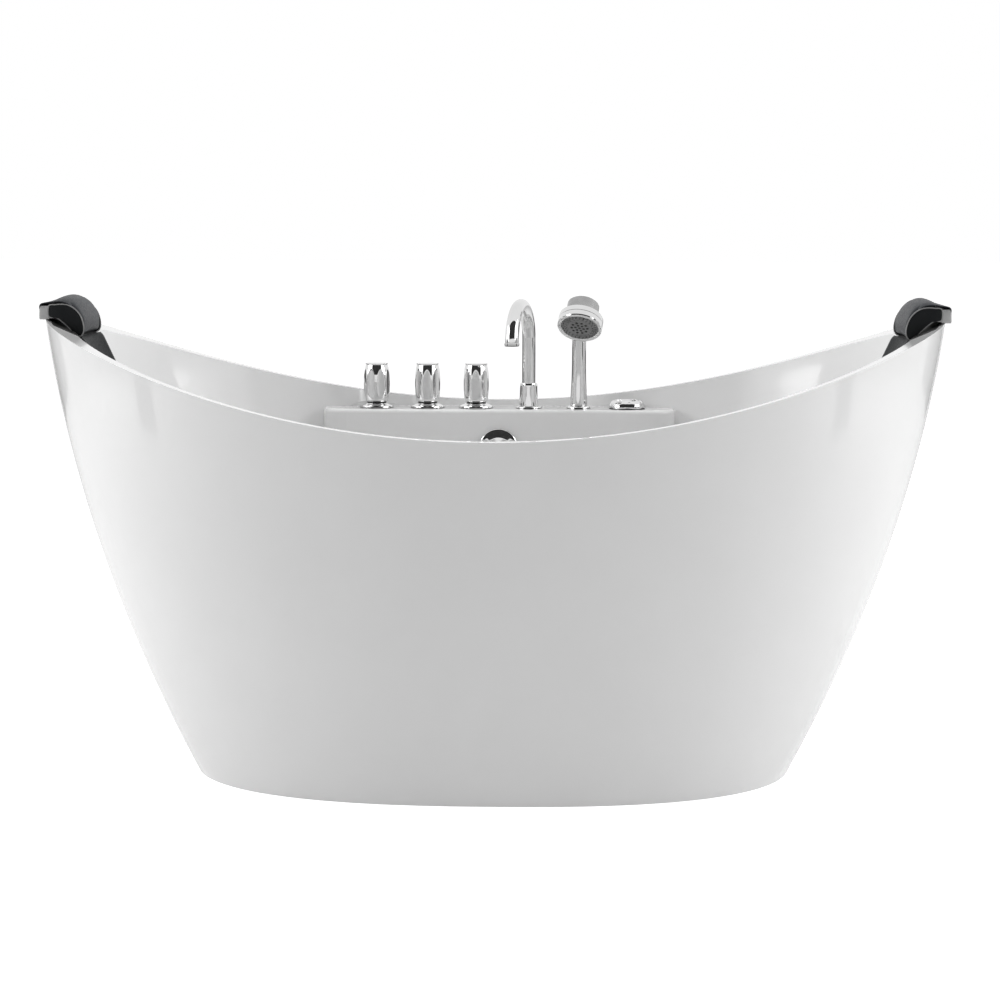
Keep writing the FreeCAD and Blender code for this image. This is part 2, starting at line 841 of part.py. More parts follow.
def make_valves():
    roses = []
    nuts = []
    socket = d.spindle_radius + d.running_clearance
    for name, offset, fed in VALVES:
        roses.append(turned(f"{name}_rose", [
            (d.shank_radius + d.shank_clearance, 0), (d.rose_radius, 0), (d.rose_radius, d.rose_height / 2),
            (d.rose_radius - 4, d.rose_height), (d.shank_radius + d.shank_clearance, d.rose_height),
        ], (offset, tap_row, deck_level)))
        bottom = -d.basin_wall - d.valve_length
        outer = [
            (d.valve_radius, bottom), (d.valve_radius, -d.basin_wall - d.nut_thickness - 2),
            (d.shank_radius, -d.basin_wall - d.nut_thickness - 2), (d.shank_radius, d.rose_height),
            (socket, d.rose_height), (socket, d.rose_height - d.spindle_length * 0.6),
            (0, d.rose_height - d.spindle_length * 0.6),
        ]
        if fed:
            inlet = [(0, bottom - d.inlet_length), (d.inlet_radius, bottom - d.inlet_length),
                     (d.inlet_radius, bottom)]
        else:
            inlet = [(0, bottom)]
        body = turned(f"{name}_valve", inlet + outer, (offset, tap_row, deck_level))
        label = "diverter_body" if not fed else f"valve_body_{name}"
        node(body, label)
        nuts.append(turned(f"{name}_nut", [
            (d.shank_radius + d.running_clearance, -d.nut_thickness),
            (d.shank_radius + d.nut_extra, -d.nut_thickness), (d.shank_radius + d.nut_extra, 0),
            (d.shank_radius + d.running_clearance, 0),
        ], (offset, tap_row, deck_under - 0.2)))
        make_knob(name, offset)
    node(group_of("roses", roses), "valve_escutcheons")
    node(group_of("shank_nuts", nuts), "deck_lock_nuts")


def make_knob(name, offset):
    foot = d.knob_lift + d.rose_height
    top = foot + d.knob_height
    bore = d.spindle_radius
    knob = turned(f"{name}_knob_blank", [
        (bore, foot), (d.knob_foot_radius, foot), (d.knob_waist_radius, foot + d.knob_height * 0.28),
        (d.knob_waist_radius, foot + d.knob_height * 0.55), (d.knob_top_radius, top - 3),
        (d.knob_top_radius - 1, top), (0, top), (0, foot + d.knob_bore_depth), (bore, foot + d.knob_bore_depth),
    ], (offset, tap_row, deck_level))
    centre = d.knob_waist_radius + d.flute_radius - d.flute_bite
    fluted(knob, f"{name}_knob", centre, d.flute_radius, d.flute_count)
    node(knob, f"knob_{name}")
    low = d.rose_height - d.spindle_length * 0.6 + 1
    spindle = turned(f"{name}_spindle", [
        (0, low), (d.spindle_radius, low), (d.spindle_radius, foot + d.knob_bore_depth),
        (0, foot + d.knob_bore_depth),
    ], (offset, tap_row, deck_level))
    node(spindle, f"spindle_{name}")


def make_mixing_pipes():
    """Straight pipes under the deck from valve to valve, to the spout and to the hand shower."""
    level = deck_level - d.basin_wall - d.valve_length / 2 - d.nut_thickness / 2
    low_level = deck_level - d.basin_wall - d.valve_length + d.mixing_pipe_radius
    east = Rotation(Vector(0, 0, 1), Vector(1, 0, 0))
    runs = (
        ("hot_to_cold", d.hot_offset + d.valve_radius, d.cold_offset - d.valve_radius, level),
        ("cold_to_diverter", d.cold_offset + d.valve_radius, d.diverter_offset - d.valve_radius, level),
        ("diverter_to_spout", d.diverter_offset + d.valve_radius, d.spout_offset - d.shank_radius, level),
    )
    pipes = [rod(name, d.mixing_pipe_radius, end - start, (start, tap_row, z), east)
             for name, start, end, z in runs]
    dive = float(d.mixing_pipe_radius) * 2 + float(d.waste_pipe_radius)
    start = Vector(float(d.diverter_offset), float(tap_row), float(low_level))
    below = float(deck_under) - float(d.valve_length) - dive
    points = [
        start - Vector(0, 0, float(d.mixing_pipe_radius)),
        Vector(start.x, start.y, below),
        Vector(float(d.shower_offset), start.y, below),
        Vector(float(d.shower_offset), start.y, float(socket_bottom)),
    ]
    bend = float(d.mixing_pipe_radius) * 1.6
    pipes.append(solid("diverter_to_shower", bent_pipe(points, float(d.mixing_pipe_radius), bend)))
    node(group_of("mixing_pipe_set", pipes), "mixing_pipes")


def make_spout():
    at = (d.spout_offset, tap_row, deck_level)
    bore = d.spout_tube_radius + d.running_clearance
    shank_bottom = -d.basin_wall - d.valve_length
    base = turned("spout_seat", [
        (0, shank_bottom), (d.shank_radius, shank_bottom), (d.shank_radius, 0), (d.spout_flange_radius, 0),
        (d.spout_flange_radius, 2.5), (d.spout_sleeve_radius - 2, 4), (d.spout_sleeve_radius, 6),
        (d.spout_sleeve_radius - d.spout_sleeve_taper, d.spout_sleeve_height),
        (bore, d.spout_sleeve_height), (bore, 8), (0, 8),
    ], at)
    node(base, "spout_base")
    turn = Rotation(Vector(0, 0, 1), float(d.spout_turn))
    reach = turn.multVec(Vector(0, -1, 0))
    rise = float(d.spout_height - d.spout_tube_radius - d.spout_bend)
    foot = Vector(float(d.spout_offset), float(tap_row), float(deck_level) + 8.5)
    top = Vector(foot.x, foot.y, float(deck_level) + rise)
    bend = float(d.spout_bend)
    over = top + reach * bend + Vector(0, 0, bend)
    tip = top + reach * 2 * bend
    outlet = tip - Vector(0, 0, float(d.outlet_drop))
    path = Part.Wire([
        Part.LineSegment(foot, top).toShape(),
        Part.Arc(top, over, tip).toShape(),
        Part.LineSegment(tip, outlet).toShape(),
    ])

    def along(radius):
        profile = Part.Wire([Part.makeCircle(radius, foot, Vector(0, 0, 1))])
        return path.makePipeShell([profile], True, False)

    outer = float(d.spout_tube_radius)
    tube = along(outer).cut(along(outer - float(d.spout_tube_wall)))
    node(solid("spout_bent", tube), "spout_tube")
    aerator = turned("aerator_ring", [
        (d.spout_tube_radius * 0.55, -d.aerator_height), (d.aerator_radius, -d.aerator_height),
        (d.aerator_radius, 0), (d.spout_tube_radius * 0.55, 0),
    ], (outlet.x, outlet.y, outlet.z))
    node(aerator, "spout_aerator")


# ---------------------------------------------------------------- hand shower

socket_bottom = deck_level - d.basin_wall - 24


def head_place():
    """The middle of the hand shower's face and the way the face points."""
    turn = Rotation(Vector(0, 0, 1), float(d.head_turn))
    tilt = math.radians(float(d.head_tilt))
    face_way = turn.multVec(Vector(0, -math.cos(tilt), -math.sin(tilt)))
    face = Vector(float(d.shower_offset), float(tap_row - d.head_reach), float(deck_level + d.head_height))
    return face, face_way


def along_head(distance):
    """A point on the head's axis, measured backwards from the face."""
    face, face_way = head_place()
    point = face - face_way * float(distance)
    return point.x, point.y, point.z


def make_shower():
    at = (d.shower_offset, tap_row, deck_level)
    bore = d.handle_radius + 0.3
    wall = shower_socket_wall
    socket = turned("socket_turned", [
        (bore, -d.basin_wall - 14), (bore, d.socket_height), (d.socket_radius - 3, d.socket_height),
        (d.socket_radius, d.socket_height / 2), (d.socket_radius, 0), (d.handle_radius + wall, 0),
        (d.handle_radius + wall, -d.basin_wall - 24), (0, -d.basin_wall - 24), (0, -d.basin_wall - 14),
    ], at)
    node(socket, "shower_socket")

    way = facing(head_place()[1])
    foot = d.socket_height + 0.3
    grip = turned("shower_grip", [
        (0, -d.basin_wall - 13.5), (d.handle_radius, -d.basin_wall - 13.5), (d.handle_radius, foot),
        (d.handle_radius + d.handle_flare - 1, foot), (d.handle_radius + d.handle_flare, foot + 5),
        (d.handle_radius + d.handle_flare * 0.3, foot + 40), (d.handle_radius, foot + 85),
        (d.handle_radius, d.head_height + 10), (0, d.head_height + 10),
    ], at)
    grip_end = ball("shower_grip_end", d.handle_radius,
                    (d.shower_offset, tap_row, deck_level + d.head_height + 10))
    ring_back = d.ring_depth + d.selector_clearance
    shell_end = d.crown_depth + d.head_depth - ring_back
    shell = turned("shower_shell", [
        (0, 0), (d.crown_radius - 1.5, 0), (d.crown_radius, 1.5), (d.crown_radius, d.crown_depth),
        (d.head_radius - 1.5, d.crown_depth), (d.head_radius, d.crown_depth + 1.5),
        (d.head_radius, shell_end), (0, shell_end),
    ], along_head(d.head_depth + d.crown_depth), way)
    ring_room = rod("shower_ring_room", d.head_radius + d.selector_clearance, ring_back * 1.3,
                    along_head(ring_back), way)
    node(cut("shower_trimmed", joined("shower_joined", [grip, grip_end, shell]), ring_room), "hand_shower_body")

    floor = d.ring_depth - d.face_inset - d.plate_thickness
    ring = turned("selector_ring", [
        (0, 0), (d.head_radius, 0), (d.head_radius, d.ring_depth - 1.5),
        (d.head_radius - 1.5, d.ring_depth), (d.plate_radius + 0.5, d.ring_depth),
        (d.plate_radius + 0.5, floor), (0, floor),
    ], along_head(d.ring_depth), way)
    node(ring, "spray_selector")

    plate = doc.addObject("PartDesign::Body", "nozzle_plate")
    profile = add_circle(plate, "nozzle_plate_edge", "XY_Plane", (0, 0), d.plate_radius)
    pad = plate.newObject("PartDesign::Pad", "nozzle_plate_pad")
    pad.Profile = profile
    bind(pad, Length=d.plate_thickness)
    place(plate, along_head(d.face_inset + d.plate_thickness), way)
    node(plate, "spray_plate")


# ---------------------------------------------------------------- air control, overflow and waste


def make_air_control():
    at = (d.air_offset, tap_row, deck_level)
    bottom = -d.basin_wall - d.air_body_length
    body = turned("air_valve", [
        (0, bottom), (d.air_pipe_radius * 1.5, bottom), (d.air_pipe_radius * 1.5, bottom + 10),
        (d.air_body_radius, bottom + 10), (d.air_body_radius, 0.6), (d.air_body_radius + 6, 0.6),
        (d.air_body_radius + 6, 2), (d.spindle_radius, 2), (d.spindle_radius, d.air_knob_height * 0.6),
        (0, d.air_knob_height * 0.6),
    ], at)
    node(body, "air_control_body")
    bore = d.spindle_radius + d.running_clearance
    knob = turned("air_knob_blank", [
        (bore, 2.4), (d.air_body_radius + 6.6, 2.4), (d.air_body_radius + 6.6, 0.6),
        (d.air_knob_radius, 0.6), (d.air_knob_radius - 4, d.air_knob_height),
        (0, d.air_knob_height), (0, d.air_knob_height * 0.6 + 0.3), (bore, d.air_knob_height * 0.6 + 0.3),
    ], at)
    centre = d.air_knob_radius + d.air_scallop_radius * 0.62
    fluted(knob, "air_knob", centre, d.air_scallop_radius, d.air_scallop_count)
    node(knob, "air_control_knob")


def make_overflow():
    wall = deck_front
    body = turned("overflow_elbow", [
        (0, d.basin_wall + 0.3), (d.overflow_body_radius, d.basin_wall + 0.3),
        (d.overflow_body_radius, d.basin_wall + d.overflow_body_depth),
        (0, d.basin_wall + d.overflow_body_depth),
    ], (0, wall, d.overflow_level), UPRIGHT_TO_BACK)
    shaft = rod("overflow_shaft", d.waste_pipe_radius, d.basin_wall + 7, (0, wall - 6, d.overflow_level),
                UPRIGHT_TO_BACK)
    tail_y = wall + d.basin_wall + d.overflow_body_depth / 2
    tail_length = d.overflow_body_radius + 12
    spigot = rod("overflow_spigot", d.waste_pipe_radius, tail_length,
                 (0, tail_y, d.overflow_level - tail_length))
    hollow = rod("overflow_hollow", d.waste_pipe_radius - d.waste_pipe_wall, tail_length + 1,
                 (0, tail_y, d.overflow_level - tail_length - 1))
    node(cut("overflow_bored", joined("overflow_joined", [body, shaft, spigot]), hollow), "overflow_body")

    bore = d.waste_pipe_radius + 0.3
    depth = d.overflow_cap_depth
    cap = turned("overflow_dome", [
        (0, 6.3), (bore, 6.3), (bore, 0.5), (d.overflow_cap_radius, 0.5),
        (d.overflow_cap_radius, 4), (d.overflow_cap_radius * 0.92, depth * 0.55),
        (d.overflow_cap_radius * 0.7, depth * 0.82), (d.overflow_cap_radius * 0.35, depth * 0.97), (0, depth),
    ], (0, wall, d.overflow_level), UPRIGHT_TO_FRONT)
    node(cap, "overflow_cap")

    top = Vector(0, float(tail_y), float(d.overflow_level - tail_length))
    corner = Vector(0, float(tail_y), float(d.waste_level))
    end = Vector(0, float(d.drain_offset + d.drain_tail_radius) + 0.3, float(d.waste_level))
    bend = float(d.waste_pipe_radius) * 2
    pipe = bent_tube([top, corner, end], float(d.waste_pipe_radius), float(d.waste_pipe_wall), bend)
    node(solid("overflow_drop", pipe), "overflow_pipe")
    cable_start = top + Vector(0, 0, float(tail_length) - 0.3)
    cable = bent_pipe([cable_start, corner, end + Vector(0, 1, 0)], float(d.cable_radius), bend)
    node(solid("stopper_wire", cable), "stopper_cable")


def make_waste():
    at = (0, d.drain_offset, d.floor_level)
    bottom = d.waste_level - d.floor_level - d.waste_pipe_radius - 6
    inner = d.drain_bore
    body = turned("drain_tail", [
        (inner, bottom + 4), (inner, -3), (inner + 3, 1.2), (d.drain_flange_radius - 2, 1.8),
        (d.drain_flange_radius, 0.3), (d.drain_tail_radius, 0.3), (d.drain_tail_radius, bottom), (d.outlet_radius - 2, bottom),
        (d.outlet_radius - 2, bottom + 4),
    ], at)
    side_hole = rod("drain_side_hole", d.waste_pipe_radius - d.waste_pipe_wall, d.drain_tail_radius * 2,
                    (0, d.drain_offset, d.waste_level), UPRIGHT_TO_BACK)
    node(cut("drain_bored", body, side_hole), "drain_body")

    guide = inner - 3
    stopper = turned("stopper_turned", [
        (0, -16), (guide * 0.4, -16), (guide * 0.4, 2.2), (d.stopper_radius, 2.2), (d.stopper_radius - 3, 5.5),
        (0, 7),
    ], at)
    node(stopper, "drain_stopper")

    outlet_top = d.floor_level + bottom
    outlet = turned("waste_outlet_tube", [
        (d.outlet_radius - 3, -d.outlet_length), (d.outlet_radius, -d.outlet_length),
        (d.outlet_radius, -4), (d.drain_tail_radius, -4), (d.drain_tail_radius, 0), (d.outlet_radius - 3, 0),
    ], (0, d.drain_offset, outlet_top))
    node(outlet, "waste_outlet")


# ---------------------------------------------------------------- jets, pipes and pump


def air_reach(start, normal):
    """How far a jet's air nipple runs from its start to the middle of the air pipe."""
    if abs(normal.y) > abs(normal.x):
        return (float(d.air_loop_radius) - abs(start.y)) / abs(normal.y)
    return (float(d.air_loop_run + d.air_loop_radius) - abs(start.x)) / abs(normal.x)


def make_jets():
    flange_back = 1.9
    ball_gap = d.jet_ball_radius + d.jet_ball_clearance
    back = d.basin_wall + d.wall_clearance + 1.2
    housings = []
    for i, (point, normal) in enumerate(JET_SEATS):
        at = (point.x, point.y, point.z)
        way = facing(normal)
        body = turned(f"jet_{i + 1}_turned", [
            (0, back + 8), (0, back + d.jet_chamber_depth), (d.jet_chamber_radius, back + d.jet_chamber_depth),
            (d.jet_chamber_radius, back), (d.jet_hub_radius, back), (d.jet_hub_radius, -flange_back),
            (d.jet_flange_radius, -flange_back), (d.jet_flange_radius - 2, -flange_back - d.jet_flange_thickness),
            (8, -flange_back - d.jet_flange_thickness), (8, 0), (10, 0), (10, back + 8),
        ], at, way)
        centre = point - normal * 1.0
        socket = ball(f"jet_{i + 1}_socket", ball_gap, (centre.x, centre.y, centre.z))
        tail_start = point + normal * float(back + 12)
        tail = rod(f"jet_{i + 1}_nipple", d.air_pipe_radius - 1, air_reach(tail_start, normal),
                   (tail_start.x, tail_start.y, tail_start.z), way)
        bored = cut(f"jet_{i + 1}_bored", joined(f"jet_{i + 1}_joined", [body, tail]), socket)
        air_keepout = solid(f"jet_{i + 1}_air_gap", AIR_KEEPOUT)
        housings.append(cut(f"jet_{i + 1}_housing", bored, air_keepout))

        nozzle_ball = ball(f"nozzle_{i + 1}_ball", d.jet_ball_radius, (0, 0, 0))
        slab = rod(f"nozzle_{i + 1}_slab", d.jet_ball_radius * 2, 20, (0, 0, -11))
        hole = rod(f"nozzle_{i + 1}_hole", d.jet_outlet_radius, d.jet_ball_radius * 4, (0, 0, -30))
        nozzle = cut(f"nozzle_{i + 1}", common(f"nozzle_{i + 1}_cut", [nozzle_ball, slab]), hole)
        nozzle.Placement = Placement(centre, way)
        node(nozzle, f"jet_nozzle_{i + 1}")
    node(group_of("jets", housings), "jet_housings")


def loop_tube(radius_name, run, level, pipe_radius):
    """Two half rings joined by straight runs, open at the back where the overflow pipe passes."""
    ring, run, level, pipe_radius = (float(value) for value in (radius_name, run, level, pipe_radius))
    corners = [Vector(-run, ring, level), Vector(-run, -ring, level), Vector(run, -ring, level),
               Vector(run, ring, level)]
    gap = float(d.loop_gap)
    edges = [
        Part.LineSegment(Vector(-gap, ring, level), corners[0]).toShape(),
        Part.Arc(corners[0], Vector(-run - ring, 0, level), corners[1]).toShape(),
        Part.LineSegment(corners[1], corners[2]).toShape(),
        Part.Arc(corners[2], Vector(run + ring, 0, level), corners[3]).toShape(),
        Part.LineSegment(corners[3], Vector(gap, ring, level)).toShape(),
    ]
    profile = Part.Wire([Part.makeCircle(pipe_radius, Vector(-gap, ring, level), Vector(-1, 0, 0))])
    return Part.Wire(edges).makePipeShell([profile], True, False)


AIR_KEEPOUT = loop_tube(d.air_loop_radius, d.air_loop_run, d.air_loop_level, d.air_pipe_radius + 0.3)
volute_top = d.pump_level + d.volute_radius + 4
volute_outlet_x = d.pump_offset + d.volute_radius - d.water_pipe_radius - 4


def make_manifolds():
    water = loop_tube(d.water_loop_radius, d.water_loop_run, d.water_loop_level, d.water_pipe_radius)
    hollow = loop_tube(d.water_loop_radius, d.water_loop_run, d.water_loop_level,
                       d.water_pipe_radius - d.pipe_wall)
    hollow = hollow.common(Part.makeBox(4000, 4000, 4000, Vector(-2000, -4000 + 300, -2000)))
    branch_radius = float(d.jet_outlet_radius) + 6
    level = float(d.water_loop_level)
    chambers = []
    stubs = []
    back = float(d.basin_wall + d.wall_clearance) + 1.2
    for point, normal in JET_SEATS:
        chamber_foot = point + normal * (back - 0.3)
        chambers.append(Part.makeCylinder(float(d.jet_chamber_radius) + 0.3,
                                          float(d.jet_chamber_depth) + 0.6, chamber_foot, normal))
        middle = point + normal * (back + float(d.jet_chamber_depth) - branch_radius - float(d.branch_inset))
        stubs.append(Part.makeCylinder(branch_radius, middle.z - level, Vector(middle.x, middle.y, level)))
    riser_y = float(d.volute_front) + float(d.volute_length) / 2
    loop_x = float(d.water_loop_run) + math.sqrt(float(d.water_loop_radius) ** 2 - riser_y**2)
    riser_x = float(volute_outlet_x)
    points = [
        Vector(riser_x, riser_y, float(volute_top) + 0.0),
        Vector(riser_x, riser_y, float(volute_top) + 35),
        Vector(loop_x, riser_y, level - 35),
        Vector(loop_x, riser_y, level),
    ]
    riser = bent_pipe(points, float(d.water_pipe_radius) - 2, 20)
    made = water.cut(hollow).fuse(stubs + [riser])
    for chamber in chambers:
        made = made.cut(chamber)
    largest = max(made.Solids, key=lambda piece: piece.Volume)
    node(solid("water_loop", largest), "water_manifold")

    air = loop_tube(d.air_loop_radius, d.air_loop_run, d.air_loop_level, d.air_pipe_radius)
    air_top = float(deck_level - d.basin_wall - d.air_body_length) - 0.3
    loop_y = float(d.air_loop_radius)
    low = float(d.air_loop_level)
    points = [
        Vector(float(d.air_offset), float(tap_row), air_top),
        Vector(float(d.air_offset), float(tap_row), low + 90),
        Vector(float(d.air_offset), loop_y, low + 50),
        Vector(float(d.air_offset), loop_y, low),
    ]
    riser = bent_pipe(points, float(d.air_pipe_radius), 15)
    node(solid("air_loop", air.fuse(riser)), "air_manifold")


def make_suction():
    point, normal = SUCTION_SEAT
    at = (point.x, point.y, point.z)
    back = d.basin_wall + d.wall_clearance + 2
    front = -3.8
    depth = 40
    body = turned("suction_turned", [
        (0, back + depth), (d.suction_body_radius + 4, back + depth),
        (d.suction_body_radius + 4, back), (d.suction_body_radius, back), (d.suction_body_radius, front),
        (d.suction_flange_radius, front), (d.suction_flange_radius - 3, front - 6), (0, front - 7),
    ], at, facing(normal))
    middle = point + normal * float(back + depth / 2)
    east = Rotation(Vector(0, 0, 1), Vector(1, 0, 0))
    spigot_length = d.suction_body_radius + 14
    spigot = rod("suction_spigot", d.suction_pipe_radius, spigot_length, (middle.x, middle.y, middle.z), east)
    node(joined("suction_joined", [body, spigot]), "suction_fitting")

    pump = Vector(float(d.pump_offset), float(d.volute_front) - 12.3, float(d.pump_level))
    start = Vector(middle.x + float(spigot_length) + 0.3, middle.y, middle.z)
    points = [
        start,
        Vector(start.x + 45, start.y, start.z),
        Vector(pump.x, pump.y - 40, pump.z + 62),
        Vector(pump.x, pump.y - 40, pump.z),
        pump,
    ]
    radius = float(d.suction_pipe_radius)
    node(solid("suction_run", bent_tube(points, radius, float(d.pipe_wall), radius * 1.15)), "suction_pipe")


def make_pump():
    front = d.volute_front
    level = d.pump_level
    at_x = d.pump_offset
    cavity = d.impeller_radius + 2
    inlet = d.suction_pipe_radius - d.pipe_wall
    shaft_bore = d.spindle_radius + d.running_clearance
    casing = turned("volute_casing", [
        (0, -12), (d.suction_pipe_radius, -12), (d.suction_pipe_radius, 0), (d.volute_radius - 6, 0),
        (d.volute_radius, 6), (d.volute_radius, d.volute_length), (0, d.volute_length),
    ], (at_x, front, level), UPRIGHT_TO_BACK)
    outlet = rod("volute_outlet", d.water_pipe_radius, volute_top - level,
                 (volute_outlet_x, front + d.volute_length / 2, level))
    chamber = turned("volute_chamber", [
        (0, -13), (inlet, -13), (inlet, 8), (cavity, 8), (cavity, d.volute_length - 8),
        (shaft_bore, d.volute_length - 8), (shaft_bore, d.volute_length + 1), (0, d.volute_length + 1),
    ], (at_x, front, level), UPRIGHT_TO_BACK)
    node(cut("volute_bored", joined("volute_joined", [casing, outlet]), chamber), "pump_volute")

    motor_start = front + d.volute_length
    bearing = d.spindle_radius + d.running_clearance
    motor = turned("motor_turned", [
        (bearing, 0), (d.motor_radius - 4, 0), (d.motor_radius, 6), (d.motor_radius, d.motor_length - 18),
        (d.motor_radius - 8, d.motor_length), (0, d.motor_length), (0, 46), (bearing, 46),
    ], (at_x, motor_start, level), UPRIGHT_TO_BACK)
    shelf_top = d.shelf_level + d.shelf_thickness
    foot = block("motor_foot", (d.motor_radius * 1.2, d.motor_length * 0.5, level - shelf_top - d.motor_radius * 0.6),
                 (at_x - d.motor_radius * 0.6, motor_start + d.motor_length * 0.25, shelf_top))
    box = block("terminal_box", (d.motor_radius * 0.9, d.motor_length * 0.4, d.motor_radius * 0.35),
                (at_x - d.motor_radius * 0.45, motor_start + d.motor_length * 0.3, level + d.motor_radius * 0.85))
    node(joined("motor_joined", [motor, foot, box]), "pump_motor")

    middle = d.volute_length / 2
    hub = d.impeller_thickness / 2
    wheel = turned("impeller_turned", [
        (0, middle - hub), (d.impeller_radius, middle - hub), (d.impeller_radius, middle - hub + 2),
        (d.spindle_radius * 1.8, middle - hub + 2), (d.spindle_radius * 1.8, middle + hub),
        (d.spindle_radius, middle + hub), (d.spindle_radius, d.volute_length + 44),
        (0, d.volute_length + 44),
    ], (at_x, front, level), UPRIGHT_TO_BACK)
    vanes = []
    for i in range(6):
        turn = Rotation(Vector(0, 1, 0), 60.0 * i)
        vane = block(f"vane_{i + 1}", (d.impeller_radius - d.spindle_radius - 3, d.impeller_thickness - 2, 2.5),
                     (at_x, front + middle - hub + 1, level), turn)
        offset = turn.multVec(Vector(float(d.spindle_radius) + 2, 0, -1.25))
        place(vane, (at_x + offset.x, front + middle - hub + 1, level + offset.z), turn)
        vanes.append(vane)
    node(joined("impeller_joined", [wheel] + vanes), "pump_impeller")

    tab_height = rail_bottom + d.rail_size - d.shelf_level
    shelf = block("shelf_plate", (at_x + d.motor_radius * 0.8 - d.rail_half_length, d.motor_length * 0.9,
                                  d.shelf_thickness),
                  (d.rail_half_length, motor_start, d.shelf_level))
    tab = block("shelf_tab", (d.shelf_thickness, d.motor_length * 0.9, tab_height),
                (d.rail_half_length, motor_start, d.shelf_level))
    node(joined("shelf_joined", [shelf, tab]), "pump_shelf")


# ---------------------------------------------------------------- head rests


def head_rest_sections(sign):
    """The cushion as a row of cross-sections over its width, crowned towards the middle."""
    half = float(d.pillow_width) / 2
    top_out = float(d.end_height) + 22
    outer = float(d.rim_half_length) - 1
    inner = float(d.rim_half_length) - float(d.pillow_reach)
    wires = []
    for share in (-1.0, -0.82, -0.45, 0.0, 0.45, 0.82, 1.0):
        crown = float(d.pillow_crown) * (1 - share**2) ** 0.5
        squeeze = 1.5 * max(abs(share) - 0.8, 0) / 0.2
        outline = [
            (outer, top_out - squeeze),
            (outer - 22, top_out + 2 + crown * 0.5 - squeeze),
            (inner + 26, top_out + 1 + crown - squeeze),
            (inner + 10, top_out - 7 + crown * 0.6 - squeeze),
            (inner + squeeze, top_out - 35 + crown * 0.1),
            (inner + 3 + squeeze, top_out - 46),
            (inner + 15, top_out - 49.5 + squeeze),
            (inner + 29, top_out - 40 + squeeze),
            (outer - 27, top_out - 21.5 + squeeze),
            (outer, top_out - 21 + squeeze),
        ]
        points = [Vector(sign * x, share * half, z) for x, z in outline]
        curve = Part.BSplineCurve()
        curve.interpolate(Points=points, PeriodicFlag=True)
        wires.append(Part.Wire([curve.toShape()]))
    return wires


def make_head_rests():
    gap = float(d.pad_gap)
    thick = float(d.arm_thickness)
    clear = float(d.soft_clearance)
    half = float(d.pillow_width) / 2
    arm_half = float(d.arm_width) / 2
    outer = float(d.rim_half_length)
    pad_top = float(d.end_height) - float(d.pad_top_drop)
    cap_low = float(d.end_height) - float(d.cap_drop)
    cap_outer = outer - 1
    cap_inner = cap_outer - float(d.cap_thickness)
    cap_high = cap_low + float(d.cap_height)

    def side_box(sign, inner, outer_, low, high, half_width):
        """A box at one end of the tub, from one distance to another along X."""
        x_low = -outer_ if sign < 0 else inner
        return Part.makeBox(outer_ - inner, 2 * half_width, high - low, Vector(x_low, -half_width, low))

    hollow_clear = inner_solid(-gap)
    rim_block = under_rim(gap).cut(hollow_clear)
    rest_block = under_rim(gap + thick + clear).cut(inner_solid(-gap - thick - clear))
    over_rim = under_rim(gap + thick).cut(inner_solid(-gap - thick)).cut(rim_block)
    pad_layer = hollow_clear.cut(inner_solid(-gap - float(d.pad_thickness)))
    arm_layer = hollow_clear.cut(inner_solid(-gap - thick))
    for sign, side in ((-1, "left"), (1, "right")):
        cap_room = side_box(sign, cap_inner - clear, outer + 2, cap_low - 2, cap_high + clear, half + 2)
        cushion = Part.makeLoft(head_rest_sections(sign), True, False).cut(rest_block).cut(cap_room)
        node(solid(f"cushion_{side}", cushion), f"pillow_{side}")

        pad_zone = side_box(sign, outer - 200, outer, pad_top - float(d.pad_length), pad_top, half)
        pad = pad_layer.common(pad_zone)
        node(solid(f"pad_{side}", pad), f"pillow_pad_{side}")

        cap = side_box(sign, cap_inner, cap_outer, cap_low, cap_high, half)
        arm = over_rim.common(side_box(sign, outer - 46, outer, float(d.end_height) - 45, float(d.end_height) + 15,
                                       arm_half))
        drop = arm_layer.common(side_box(sign, outer - 90, outer, pad_top - 8, pad_top + 37, arm_half))
        bracket = cap.fuse([arm, drop]).cut(cushion).cut(pad).cut(rim_block)
        node(solid(f"bracket_{side}", bracket), f"pillow_bracket_{side}")


# ---------------------------------------------------------------- build, check and write

make_skirt()
make_basin()
make_frame()
make_feet()
make_skirt_brackets()
make_valves()
make_mixing_pipes()
make_spout()
make_shower()
make_air_control()
make_overflow()
make_waste()
make_jets()
make_manifolds()
make_suction()
make_pump()
make_head_rests()
doc.recompute()


def check_objects():
    for obj in doc.Objects:
        if "Invalid" in obj.State or "Error" in obj.State:
            raise RuntimeError(f"{obj.Name} failed: {obj.State}")
    for obj in NODES:
        shape = obj.Shape
        if shape.isNull() or not shape.isValid() or not shape.Solids:
            raise RuntimeError(f"{obj.Label} has no valid solid")


check_objects()
os.makedirs("parts", exist_ok=True)
for obj in NODES:
    obj.Shape.exportStep(f"parts/{obj.Label}.step")
print(len(NODES), "sub-parts written")
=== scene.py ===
"""Looks of a freestanding jetted bathtub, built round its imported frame."""

import json
import math

import bmesh
import bpy
from mathutils import Matrix, Vector
from mathutils.bvhtree import BVHTree


